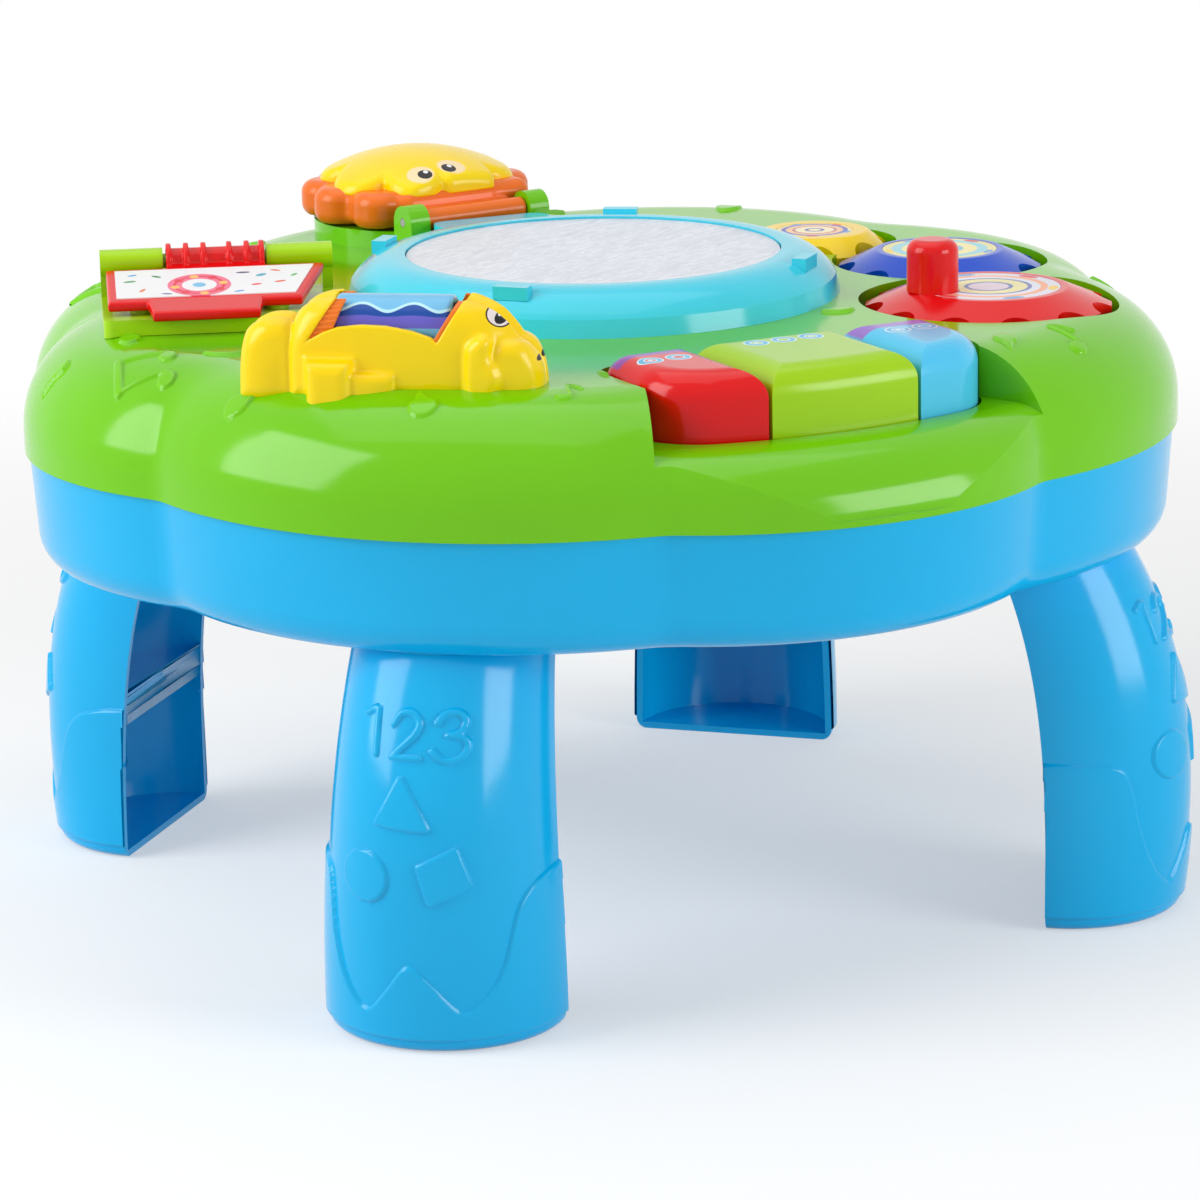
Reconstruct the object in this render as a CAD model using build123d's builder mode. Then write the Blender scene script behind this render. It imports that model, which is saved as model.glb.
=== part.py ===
"""Musical activity table for a baby, in millimetres.

The origin is on the floor under the middle of the table, +Z is up and the piano keys face -Y.
Angles round the table are measured from the front, -Y, towards +X.
"""
import os
from math import cos, degrees, radians, sin, sqrt

from build123d import *

# ---- outline and heights of the table
LOBE_R = 200.0  # crest of each lobe
GROOVE_DEPTH = 10.0  # how far each groove between two lobes runs in
GROOVE_ANGLES = (-159, -114, -75, -21, 21, 75, 114, 159)
GROOVE_SOFT = 18.0
DECK_Z = 205.0  # flat top of the green shell
SEAM_Z = 164.0  # where the green shell meets the blue pan
BASE_Z = 125.0  # underside of the blue pan
CROWN_R = 33.0  # rounding from the side wall up to the deck
PAN_R = 12.0  # rounding under the blue pan
PAN_TAPER = 4.0
SHELL_WALL = 2.4
SEAM_STEP = 1.5  # the pan's rim stands this far inside the green shell

# ---- clearances
FIT_GAP = 0.3  # pieces that are pushed or screwed together
RUN_GAP = 0.4  # shafts in their bores
REST_GAP = 0.3  # a moving piece above what it rests on
SLOT_GAP = 1.2  # a key or toy in its opening

# ---- legs
LEG_ANGLES = {"front_left": -45, "front_right": 45, "rear_left": -135, "rear_right": 135}
LEG_WALL = 2.4
LEG_FLOOR = 2.4
LEG_TOP_INSET = 51.0  # from the crests in to the leg's open edge at the pan
LEG_FOOT_INSET = 33.0  # the same at the floor
LEG_CURVE = 3.2
LEG_DEPTH = 38.0
LEG_BULGE = 4.2  # extra depth halfway up
LEG_FOOT_HALF = 39.0
LEG_TOP_HALF = 32.5
LEG_STATIONS = 5
LEG_FOOT_ROUND = 4.0
LEG_FLOOR_BAY = 8.0  # how far the foot's free edge curves in
PLUG_HEIGHT = 24.0

# ---- drum
DRUM_R = 64.0  # visible white disc
DRUM_TOP_Z = 218.8
DRUM_THICK = 2.2
DRUM_TRAVEL = 2.0
DRUM_FLANGE = 3.0
RING_FOOT_R = 84.5
RING_BORE_GAP = 0.4
RING_RISE = 0.8  # lip above the drumhead
RING_LIP = 3.8
RING_WALL = 2.4
RING_SHOULDER = 6.0
RING_LEAN = 1.5
RING_CREST_R = 68.0
RING_SWELL = 1.6  # how far the ring's top bows out of a straight slope
TONGUE_ROOT = 78.0
TONGUE_REACH = 93.5
TONGUE_WIDTH = 44.0
TONGUE_ANGLE = 177.0
TONGUE_Z = 216.5
LUG_ANGLES = (-135, -48, 42, 145)
LUG_R = 76.0
LUG_SIZE = (12.0, 5.0, 4.4)
LUG_TOP_Z = 220.6
RING_SCREW_CIRCLE = 77.0
RING_BOSS_R = 3.6
DRUM_WELL_R = 66.0
DRUM_FLOOR_Z = 197.0
DOME_R = 4.0
DOME_WALL = 1.0
DOME_HEIGHT = 5.0
LED_R = 2.5
DRUM_BOARD_R = 52.0
DRUM_DOME_CIRCLE = 44.0
BOARD_THICK = 1.6
BOARD_LIFT = 3.0

# ---- piano keys
KEY_HALF_SPAN = 61.0
KEY_SPLIT = 27.0
KEY_SETBACK = 28.0  # from the crests in to the front of the keys
KEY_DEPTH = 54.0
KEY_TOP_Z = 210.0
KEY_BOTTOM_Z = 186.5
KEY_CORNER = 24.0
KEY_REAR_CORNER = 8.0
KEY_ROUND = 9.0
KEY_WALL = 2.2
KEY_GAP = 1.2
KEY_AXLE_BACK = 11.0  # the axle lies this far behind the keys
KEY_AXLE_Z = 193.5
KEY_AXLE_R = 1.5
KEY_ARM_R = 4.5
KEY_DOME_REACH = 28.0  # from the rear of the keys to the contact domes
KEY_BOARD_Z = 174.0
BOARD_POST_X = 72.0
BOARD_POST_PITCH = 24.0
APRON_Z = 188.0  # sill in front of the keys
APRON_LEDGE = 5.0  # level part of the sill in front of the keys
APRON_ROUND = 22.0  # rounding from the sill down to the side of the table
APRON_HALF = 22.0

# ---- gears
GEAR_TOP_Z = 209.0
GEAR_SHOULDER_Z = 203.0
GEAR_FLOOR_Z = 190.0
GEAR_RED = (106.0, -85.0)
GEAR_RADII = {"red": 41.5, "blue": 35.5, "yellow": 27.0}
GEAR_TOP_RADII = {"red": 27.0, "blue": 22.5, "yellow": 19.0}
GEAR_TEETH = {"red": 12, "blue": 10, "yellow": 8}
GEAR_OVERLAP = 3.0
NOTCH_R = 7.0
NOTCH_DEPTH = 5.0
RED_TO_BLUE = 71.3  # direction, degrees from +X
BLUE_TO_YELLOW = 107.5
GEAR_SLOT = 2.5
GEAR_WALL = 2.6
STEM_R = 5.0
COLLAR_R = 8.5
COLLAR_TOP_Z = 194.0
COLLAR_BOTTOM_Z = 184.0
GEAR_TOP_ROUND = 2.0
GEAR_LABEL_RADII = {"red": 24.4, "blue": 20.2, "yellow": 14.0}
LABEL_DEPTH = 0.5
LABEL_SUNK = 0.1  # a label lies this far below its rim
GRIP_R = 8.7
GRIP_HEIGHT = 17.5
GRIP_OFFSET = 20.0
GRIP_ANGLE = 168.0
GRIP_SPIGOT_R = 3.0
GRIP_ROUND = 4.0

# ---- elephant
ELEPHANT_AT = (-123.0, -98.0)
ELEPHANT_ANGLE = -37.0
ELEPHANT_PROFILE = (  # along the body, height
    (-50.0, 208.0),
    (-46.0, 219.0),
    (-38.0, 223.5),
    (-34.5, 218.0),
    (-27.0, 229.0),
    (-18.0, 233.0),
    (22.0, 233.0),
    (34.0, 227.0),
    (43.0, 216.0),
    (50.0, 206.0),
)
ELEPHANT_HALF_WIDTH = 13.2
ELEPHANT_WALL = 2.2
ELEPHANT_BEND = 3.0  # rounding of the profile's corners
ELEPHANT_SOFT = 4.0  # rounding along both sides
ELEPHANT_SCREWS = (-40.0, 32.0)  # along the body
ELEPHANT_FEET = (  # place along the body, length, reach from its middle plane, top
    (-16.6, 14.0, 19.5, 213.5),
    (-2.6, 14.0, 16.5, 210.0),
    (31.4, 11.0, 15.5, 219.0),
)
FOOT_ROUND = 3.0
ROLLER_R = 10.0
ROLLER_LENGTH = 37.0
ROLLER_Z = 222.5
ROLLER_SHIFT = 2.5  # towards the head
ROLLER_RIM_Z = 224.0  # top of the side walls beside the roller
ROLLER_END_GAP = 1.0
ROLLER_WALL = 2.2
ROLLER_HUB_R = 5.0
ROLLER_AXLE_R = 2.0
AXLE_PROUD = 1.0

# ---- page-turning book
BOOK_AT = (-133.0, 18.0)
BOOK_ANGLE = -21.0
BOOK_LEFT = -37.5
BOOK_RIGHT = 41.0
BOOK_FRONT = -17.0
BOOK_BACK = 34.0
BOOK_BASE_Z = 210.5
BOOK_BAR = 9.0  # square section of the two hinge bars before rounding
BOOK_BAR_ROUND = 4.0
BOOK_TOP_Z = 226.0
BOOK_GAP_LEFT = -16.3
BOOK_GAP_RIGHT = 18.7
CHEEK = 3.5
BOOK_WALL = 2.4
BOOK_CORNER = 3.0
BOOK_SCREWS = ((-28.0, 4.0), (30.0, 4.0))
BOOK_ROD_R = 2.5
ROD_SEAT = 6.0
PAGE_LEFT = -35.5
PAGE_RIGHT = 37.5
PAGE_SLANT = 9.0
PAGE_FRONT = -10.5
PAGE_REAR = 21.5
PAGE_BOTTOM_Z = 212.5
PAGE_THICK = 4.5
PAGE_TAB = 11.0
PAGE_TAB_WIDTH = 38.0
PAGE_TAB_CENTRE = -3.5
PAGE_CORNER = 3.0
PAGE_NECK = (-15.3, 18.1)
NECK_REACH = 28.5
PAGE_STOPS = ((-24.0, -3.0), (20.0, -3.0))
FIN_THICK = 1.8
FIN_R = 6.0
FIN_PLACES = (-14.3, -8.4, -2.5, 6.2, 12.1, 17.1)
PAGE_LABEL_MARGIN = 3.0

# ---- lion
LION_AT = (0.0, 140.0)
LION_ANGLE = 6.0
LION_HINGE_Y = -38.0
LION_HINGE_Z = 216.5
LION_PIN_R = 1.5
LION_BAR_R = 4.0
LION_BAR_LENGTH = 42.0
LION_EAR_R = 6.0
LION_EAR_WIDTH = 8.0
EAR_SPIGOT_R = 2.5
LION_FRONT_Y = -31.0  # the mane's straight edge behind the hinge
PEDESTAL_R = 38.0
PEDESTAL_Z = 211.5
MANE_R = 32.5  # circle that carries the curls
MANE_CURLS = 11
CURL_R = 12.0
CURL_SOFT = 3.0
MANE_TOP_Z = 225.5
FACE_R = 25.5
FACE_CURLS = 8
FACE_RIM_Z = 228.0
FACE_REACH = 39.0  # the dome comes down to the rim here
FACE_TOP_Z = 237.0
MANE_ROUND = 3.0
LION_WALL = 2.2

# ---- battery box, speaker, boards and switch in the pan
BATTERY_AT = (0.0, 45.0)
AA_R = 7.1
AA_LENGTH = 50.0
AA_PITCH = 15.2
CASE_WALL = 2.0
CASE_ROOM = (48.0, 60.0, 17.0)
CASE_FLANGE = 6.0
DOOR_THICK = 2.2
DOOR_TAB = 10.0
DOOR_SCREW_HEAD = 1.2
SPEAKER_AT = (62.0, 0.0)
SPEAKER_R = 20.0
SPEAKER_HEIGHT = 14.0
SPEAKER_RIM = 3.0
MAGNET_R = 10.0
MAGNET_HEIGHT = 5.0
GRILLE_HOLE_R = 1.6
GRILLE_PITCH = 6.0
MAIN_BOARD_AT = (0.0, -45.0)
MAIN_BOARD_SIZE = (76.0, 46.0)
MAIN_BOARD_LIFT = 8.0
SWITCH_AT = (-62.0, 0.0)
SWITCH_TRAVEL = 6.0
SWITCH_KNOB = (6.0, 5.0)
SWITCH_PROUD = 2.0
SWITCH_PLATE = (10.0, 8.0, 1.5)
SWITCH_BODY = (24.0, 9.0, 6.0)
SWITCH_FOOT = 2.5
CHIP_SIZE = (14.0, 14.0, 2.2)
CAN_R = 3.2
CAN_HEIGHT = 9.0
CONTACT_SIZE = (44.0, 0.8, 12.0)
CONTACT_NUB_R = 3.0

# ---- fasteners
POST_R = 4.5
POST_INSET = 22.0  # from the crests in to the screw posts
POST_ANGLES = (-165, -118, -80, -27, 27, 80, 118, 165)
SCREW_R = 1.4
PILOT_R = 1.5  # bore that a screw bites in
SCREW_HEAD_R = 3.2
SCREW_HEAD = 2.2
SCREW_SEAT_Z = 152.0
TOY_SEAT_Z = 199.5
TOY_FLOOR_Z = 192.0  # the toys' walls start below the deck and are trimmed to it
SCREW_BITE = 12.0
PAN_POST_R = 5.6

# places that follow from the sizes above
GROOVE_R = LOBE_R - GROOVE_DEPTH
LEG_TOP_IN = LOBE_R - LEG_TOP_INSET
LEG_FOOT_IN = LOBE_R - LEG_FOOT_INSET
POST_CIRCLE = LOBE_R - POST_INSET
KEY_FRONT_R = LOBE_R - KEY_SETBACK
KEY_REAR_Y = KEY_DEPTH - KEY_FRONT_R
KEY_AXLE_Y = KEY_REAR_Y + KEY_AXLE_BACK
KEY_DOME_Y = KEY_REAR_Y - KEY_DOME_REACH
BOARD_POST_Y = (KEY_DOME_Y, KEY_DOME_Y + BOARD_POST_PITCH)
lion_pin_half = LION_BAR_LENGTH / 2 + RUN_GAP + LION_EAR_WIDTH
ear_places = [n * (LION_BAR_LENGTH / 2 + RUN_GAP + LION_EAR_WIDTH / 2) for n in (-1, 1)]
key_axle_half = KEY_HALF_SPAN + 2 * SHELL_WALL
key_board_posts = [(x * BOARD_POST_X, y) for x in (-1, 1) for y in BOARD_POST_Y]
drum_board_z = DRUM_FLOOR_Z + BOARD_LIFT
PAN_INSIDE_Z = BASE_Z + SHELL_WALL
DECK_UNDER_Z = DECK_Z - SHELL_WALL
CUT = 60.0  # a cutter reaches this far past what it cuts


def around(radius, angle):
    """Point at a radius and an angle from the front of the table."""
    return (radius * sin(radians(angle)), -radius * cos(radians(angle)))


def beside(origin, distance, angle):
    """Point at a distance and a direction from another point, in degrees from +X."""
    return (origin[0] + distance * cos(radians(angle)), origin[1] + distance * sin(radians(angle)))


def turned(origin, angle, height=0.0):
    """Level plane at a point, with its X axis turned by an angle."""
    x_way = (cos(radians(angle)), sin(radians(angle)), 0)
    return Plane(origin=(origin[0], origin[1], height), x_dir=x_way, z_dir=(0, 0, 1))


def upright(frame, along=0.0, across=0.0):
    """Upright plane through a point of a level frame: local X runs along it, local Y is up."""
    foot = frame.from_local_coords((along, across, 0))
    return Plane(origin=foot, x_dir=frame.x_dir, z_dir=-frame.y_dir)


def end_on(frame, along, across=0.0):
    """Upright plane across a level frame, facing along its X axis."""
    foot = frame.from_local_coords((along, across, 0))
    return Plane(origin=foot, x_dir=frame.y_dir, z_dir=frame.x_dir)


def frame_point(frame, along, across=0.0):
    """Plan position of a point given on a level frame's own axes."""
    point = frame.from_local_coords((along, across, 0))
    return (point.X, point.Y)


def save(piece, name):
    piece.part.label = name
    export_step(piece.part, f"parts/{name}.step")


def lobed_outline(inset=0.0):
    """Plan of the table: one disc for each lobe, with the grooves between them softened."""
    ends = GROOVE_ANGLES + (GROOVE_ANGLES[0] + 360,)
    with BuildSketch() as outline:
        for start, end in zip(ends, ends[1:]):
            half = radians(end - start) / 2
            rise = LOBE_R - GROOVE_R * cos(half)
            lobe_r = ((GROOVE_R * sin(half)) ** 2 + rise**2) / (2 * rise)
            middle = (start + end) / 2
            with Locations(Location((*around(LOBE_R - lobe_r, middle), 0), (0, 0, middle + 90))):
                Circle(lobe_r - inset)
        fillet(outline.vertices(), GROOVE_SOFT + inset)
    return outline.sketch


def crowned_block(inset, floor, top, soften):
    """The lobed outline raised to a height, with its top edge rounded over."""
    with BuildPart() as block:
        with BuildSketch(Plane.XY.offset(floor)):
            add(lobed_outline(inset))
        extrude(amount=top - floor)
        fillet(block.faces().sort_by(Axis.Z)[-1].edges(), soften)
    return block.part


def pan_block(inset, top, floor, soften):
    """The lobed outline drawn in towards the bottom, with its bottom edge rounded."""
    with BuildPart() as block:
        with BuildSketch(Plane.XY.offset(top)):
            add(lobed_outline(inset))
        extrude(amount=floor - top, taper=PAN_TAPER)
        fillet(block.faces().sort_by(Axis.Z)[0].edges(), soften)
    return block.part


def key_plan(grow=0.0):
    """Plan of the three keys together, with wide front corners."""
    side_y = -sqrt(KEY_FRONT_R**2 - KEY_HALF_SPAN**2)
    with BuildSketch() as plan:
        with BuildLine():
            ThreePointArc((-KEY_HALF_SPAN, side_y), (0, -KEY_FRONT_R), (KEY_HALF_SPAN, side_y))
            Polyline(
                (KEY_HALF_SPAN, side_y),
                (KEY_HALF_SPAN, KEY_REAR_Y),
                (-KEY_HALF_SPAN, KEY_REAR_Y),
                (-KEY_HALF_SPAN, side_y),
            )
        make_face()
        fillet(plan.vertices().group_by(Axis.Y)[0], KEY_CORNER)
        fillet(plan.vertices().group_by(Axis.Y)[-1], KEY_REAR_CORNER)
        if grow:
            offset(amount=grow)
    return plan.sketch


# ---- the gear train: centres and the way each wheel is turned at rest
gear_blue_at = beside(GEAR_RED, GEAR_RADII["red"] + GEAR_RADII["blue"] - GEAR_OVERLAP, RED_TO_BLUE)
gear_yellow_at = beside(
    gear_blue_at, GEAR_RADII["blue"] + GEAR_RADII["yellow"] - GEAR_OVERLAP, BLUE_TO_YELLOW
)
GEAR_AT = {"red": GEAR_RED, "blue": gear_blue_at, "yellow": gear_yellow_at}
blue_pitch = 360 / GEAR_TEETH["blue"]
# a notch of the red wheel faces the blue one, and a tooth of the blue wheel stands in it
blue_notch = RED_TO_BLUE + 180 + blue_pitch / 2
tooth_lag = (BLUE_TO_YELLOW - RED_TO_BLUE - 180) % blue_pitch
yellow_notch = BLUE_TO_YELLOW + 180 + tooth_lag * GEAR_TEETH["blue"] / GEAR_TEETH["yellow"]
NOTCH_ANGLES = {"red": RED_TO_BLUE, "blue": blue_notch, "yellow": yellow_notch}


def gear_recess(grow):
    """Plan of the recess that the three gears stand in."""
    with BuildSketch() as plan:
        for colour, centre in GEAR_AT.items():
            with Locations(centre):
                Circle(GEAR_RADII[colour] + grow)
    return plan.sketch


# ---- frames of the toys on the deck
elephant_frame = turned(ELEPHANT_AT, ELEPHANT_ANGLE)
book_plane = turned(BOOK_AT, BOOK_ANGLE)
lion_frame = turned(LION_AT, LION_ANGLE)
elephant_screws = [frame_point(elephant_frame, place) for place in ELEPHANT_SCREWS]
book_screws = [frame_point(book_plane, *place) for place in BOOK_SCREWS]
toy_screws = elephant_screws + book_screws

os.makedirs("parts", exist_ok=True)

# ======================================================================== green deck shell
crown = crowned_block(0, SEAM_Z, DECK_Z, CROWN_R)
crown_clear = crowned_block(-FIT_GAP / 2, SEAM_Z, DECK_Z + FIT_GAP / 2, CROWN_R)
hollow = crowned_block(SHELL_WALL, SEAM_Z, DECK_UNDER_Z, CROWN_R - SHELL_WALL)


def apron_sector(drop, half_angle):
    """Everything above the sill in front of the keys, as a sector of the table."""
    start_r = KEY_FRONT_R - KEY_CORNER
    edge_r = LOBE_R + SHELL_WALL
    sill_z = APRON_Z - drop
    ledge_r = KEY_FRONT_R + APRON_LEDGE
    bend = APRON_ROUND - drop
    foot_z = APRON_Z - APRON_ROUND
    with BuildPart() as sector:
        with BuildSketch(Plane.XZ):
            with BuildLine():
                Line((start_r, sill_z), (ledge_r, sill_z))
                CenterArc((ledge_r, foot_z), bend, 0, 90)
                Polyline(
                    (ledge_r + bend, foot_z),
                    (edge_r, foot_z),
                    (edge_r, DECK_Z + CUT),
                    (start_r, DECK_Z + CUT),
                    (start_r, sill_z),
                )
            make_face()
        revolve(axis=Axis.Z, revolution_arc=2 * half_angle)
    return Rot(0, 0, -90 - half_angle) * sector.part


def within_crown(plan, floor):
    """A plan raised from a height up to the outside of the deck shell."""
    with BuildPart() as block:
        with BuildSketch(Plane.XY.offset(floor)):
            add(plan)
        extrude(amount=CUT)
        add(crown, mode=Mode.INTERSECT)
    return block.part


wall_angle = degrees(SHELL_WALL / KEY_FRONT_R)
with BuildPart() as apron_block:
    add(apron_sector(SHELL_WALL, APRON_HALF + wall_angle))
    add(crown, mode=Mode.INTERSECT)

with BuildPart() as top_shell:
    add(crown)
    add(hollow, mode=Mode.SUBTRACT)
    # recess of the gears and well of the drum
    add(within_crown(gear_recess(GEAR_SLOT + SHELL_WALL), GEAR_FLOOR_Z - SHELL_WALL))
    with BuildSketch(Plane.XY.offset(DRUM_FLOOR_Z - SHELL_WALL)):
        Circle(DRUM_WELL_R + SHELL_WALL)
    extrude(amount=DECK_UNDER_Z - DRUM_FLOOR_Z + SHELL_WALL)
    # sill and side walls of the key pocket
    add(apron_block.part)
    add(within_crown(key_plan(SLOT_GAP + SHELL_WALL), APRON_Z - SHELL_WALL))
    add(apron_sector(0, APRON_HALF), mode=Mode.SUBTRACT)
    # screw posts
    for post_angle in POST_ANGLES:
        with BuildSketch(mode=Mode.PRIVATE) as post_plan:
            with Locations(around(POST_CIRCLE, post_angle)):
                Circle(POST_R)
        add(within_crown(post_plan.sketch, SEAM_Z))
    # pedestal of the lion
    with BuildSketch(lion_frame.offset(DECK_UNDER_Z - CROWN_R / 6)):
        Circle(PEDESTAL_R)
    extrude(amount=PEDESTAL_Z - DECK_UNDER_Z + CROWN_R / 6)
    with BuildSketch(lion_frame.offset(DECK_UNDER_Z - CROWN_R / 3)):
        Circle(PEDESTAL_R - SHELL_WALL)
    extrude(amount=PEDESTAL_Z - SHELL_WALL - DECK_UNDER_Z + CROWN_R / 3, mode=Mode.SUBTRACT)
    # brackets under the deck for the ends of the key axle, and posts of the key board
    for side in (-1, 1):
        bracket_x = side * (KEY_HALF_SPAN + 2 * SHELL_WALL)
        with Locations((bracket_x, KEY_AXLE_Y, (KEY_AXLE_Z - KEY_ARM_R + DECK_UNDER_Z) / 2)):
            Box(2 * SHELL_WALL, 2 * KEY_ARM_R, DECK_UNDER_Z - KEY_AXLE_Z + KEY_ARM_R)
    with BuildSketch(mode=Mode.PRIVATE) as board_posts:
        with Locations(*key_board_posts):
            Circle(POST_R)
    add(within_crown(board_posts.sketch, KEY_BOARD_Z))
    # seats under the deck for the screws of the elephant and the book
    with BuildSketch(mode=Mode.PRIVATE) as toy_seats:
        with Locations(*toy_screws):
            Circle(POST_R)
    add(within_crown(toy_seats.sketch, TOY_SEAT_Z))
    # everything that is cut through the shell
    with BuildSketch(Plane.XY.offset(GEAR_FLOOR_Z)):
        add(gear_recess(GEAR_SLOT))
    extrude(amount=CUT, mode=Mode.SUBTRACT)
    with BuildSketch(Plane.XY.offset(GEAR_FLOOR_Z)):
        with Locations(*GEAR_AT.values()):
            Circle(COLLAR_R)
    extrude(amount=COLLAR_TOP_Z - GEAR_FLOOR_Z)
    with BuildSketch(Plane.XY.offset(COLLAR_BOTTOM_Z)):
        with Locations(*GEAR_AT.values()):
            Circle(COLLAR_R)
    extrude(amount=GEAR_FLOOR_Z - COLLAR_BOTTOM_Z)
    with Locations(*[(x, y, COLLAR_BOTTOM_Z) for x, y in GEAR_AT.values()]):
        Cylinder(STEM_R + RUN_GAP, CUT, mode=Mode.SUBTRACT)
    with BuildSketch(Plane.XY.offset(DRUM_FLOOR_Z)):
        Circle(DRUM_WELL_R)
    extrude(amount=CUT, mode=Mode.SUBTRACT)
    with BuildSketch(Plane.XY.offset(DRUM_FLOOR_Z)):
        with PolarLocations(DRUM_DOME_CIRCLE, 4, start_angle=45):
            Circle(POST_R)
    extrude(amount=BOARD_LIFT)
    with Locations((0, 0, drum_board_z)):
        with PolarLocations(DRUM_DOME_CIRCLE, 4, start_angle=45):
            Cylinder(PILOT_R, 2 * BOARD_LIFT, mode=Mode.SUBTRACT)
    with BuildSketch(Plane.XY.offset(APRON_Z - CUT / 2)):
        add(key_plan(SLOT_GAP))
    extrude(amount=CUT, mode=Mode.SUBTRACT)
    with Locations((0, KEY_REAR_Y + SLOT_GAP, KEY_AXLE_Z)):
        Box(2 * KEY_HALF_SPAN - KEY_REAR_CORNER, 4 * SHELL_WALL, 3 * KEY_ARM_R, mode=Mode.SUBTRACT)
    with BuildSketch(Plane.YZ):
        with Locations((KEY_AXLE_Y, KEY_AXLE_Z)):
            Circle(KEY_AXLE_R + FIT_GAP / 2)
    extrude(amount=key_axle_half + FIT_GAP, both=True, mode=Mode.SUBTRACT)
    with Locations(*[(*frame_point(lion_frame, x, LION_HINGE_Y), DECK_Z) for x in ear_places]):
        Cylinder(EAR_SPIGOT_R + FIT_GAP / 2, 4 * SHELL_WALL, mode=Mode.SUBTRACT)
    with Locations(*[(*around(RING_SCREW_CIRCLE, a), DECK_Z) for a in LUG_ANGLES]):
        Cylinder(SCREW_R + FIT_GAP, 4 * SHELL_WALL, mode=Mode.SUBTRACT)
    with Locations(*[(*around(POST_CIRCLE, a), SEAM_Z) for a in POST_ANGLES]):
        Cylinder(PILOT_R, 2 * SCREW_BITE, mode=Mode.SUBTRACT)
    with Locations(*[(*point, TOY_SEAT_Z) for point in toy_screws]):
        Cylinder(SCREW_R + FIT_GAP, CUT, mode=Mode.SUBTRACT)
    with Locations(*[(*post, KEY_BOARD_Z) for post in key_board_posts]):
        Cylinder(PILOT_R, 2 * SCREW_BITE, mode=Mode.SUBTRACT)
save(top_shell, "top_shell")

# ======================================================================== legs


def leg_plan(height, inset=0.0, past=0.0):
    """Half-ellipse section of a leg, open edge at the inside; it runs on inwards when past is set."""
    share = min(height / BASE_Z, 1)
    inner = LEG_FOOT_IN - (LEG_FOOT_IN - LEG_TOP_IN) * share**LEG_CURVE
    depth = LEG_DEPTH + 4 * LEG_BULGE * share * (1 - share) - inset
    half = LEG_FOOT_HALF - (LEG_FOOT_HALF - LEG_TOP_HALF) * share**1.6 - inset
    with BuildSketch() as plan:
        with BuildLine():
            EllipticalCenterArc((inner, 0), depth, half, start_angle=-90, arc_size=180)
            if past:
                Polyline((inner, half), (inner - past, half), (inner - past, -half), (inner, -half))
            else:
                Line((inner, half), (inner, -half))
        make_face()
    return plan.sketch


def leg_body(floor, inset, past, top):
    """Leg-shaped block from a height up to the pan, then straight up to the top of the plug."""
    with BuildPart() as body:
        for station in range(LEG_STATIONS + 1):
            height = floor + (BASE_Z - floor) * station / LEG_STATIONS
            with BuildSketch(Plane.XY.offset(height)):
                add(leg_plan(height, inset, past))
        loft()
        with BuildSketch(Plane.XY.offset(BASE_Z)):
            add(leg_plan(BASE_Z, inset, past))
        extrude(amount=top - BASE_Z)
    return body.part


with BuildPart() as leg_shape:
    add(leg_body(0, 0, 0, BASE_Z + PLUG_HEIGHT))
    foot_face = leg_shape.faces().sort_by(Axis.Z)[0]
    fillet(foot_face.edges().sort_by(Axis.X)[-1], LEG_FOOT_ROUND)
    add(leg_body(LEG_FLOOR, LEG_WALL, CUT, BASE_Z + PLUG_HEIGHT), mode=Mode.SUBTRACT)
    with BuildSketch():
        with Locations((LEG_FOOT_IN, 0)):
            Ellipse(LEG_FLOOR_BAY, LEG_FOOT_HALF - LEG_WALL - LEG_FLOOR_BAY)
    extrude(amount=LEG_FLOOR, mode=Mode.SUBTRACT)

for corner, corner_angle in LEG_ANGLES.items():
    with BuildPart() as leg:
        with Locations(Rotation(0, 0, corner_angle - 90)):
            add(leg_shape.part)
    save(leg, f"leg_{corner}")

# ======================================================================== blue pan


def socket_plan(angle, grow):
    """Horseshoe section of a leg's plug, made wider all round."""
    inner_depth = LEG_DEPTH - LEG_WALL - grow
    inner_half = LEG_TOP_HALF - LEG_WALL - grow
    with BuildSketch(Plane.XY.rotated((0, 0, angle - 90))) as plan:
        with Locations((LEG_TOP_IN, 0)):
            Ellipse(LEG_DEPTH + grow, LEG_TOP_HALF + grow)
        with Locations((LEG_TOP_IN - grow - CUT, 0)):
            Rectangle(2 * CUT, CUT * 2, mode=Mode.SUBTRACT)
        with Locations((LEG_TOP_IN, 0)):
            Ellipse(inner_depth, inner_half, mode=Mode.SUBTRACT)
        with Locations((LEG_TOP_IN - grow, 0)):
            Rectangle(2 * grow, 2 * inner_half, mode=Mode.SUBTRACT)
    return plan.sketch


pan_outside = pan_block(SEAM_STEP, SEAM_Z, BASE_Z, PAN_R)
pan_hollow = pan_block(SEAM_STEP + SHELL_WALL, SEAM_Z, PAN_INSIDE_Z, PAN_R - SHELL_WALL)
plug_top = BASE_Z + PLUG_HEIGHT
battery_frame = Plane.XY.offset(PAN_INSIDE_Z).move(Location((*BATTERY_AT, 0)))
case_x = CASE_ROOM[0] + 2 * CASE_WALL
case_y = CASE_ROOM[1] + 2 * CASE_WALL
door_y = case_y + DOOR_TAB
board_span = (MAIN_BOARD_SIZE[0] / 2 - POST_R, MAIN_BOARD_SIZE[1] / 2 - POST_R)
board_corners = [
    (MAIN_BOARD_AT[0] + x * board_span[0], MAIN_BOARD_AT[1] + y * board_span[1])
    for x in (-1, 1)
    for y in (-1, 1)
]

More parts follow.
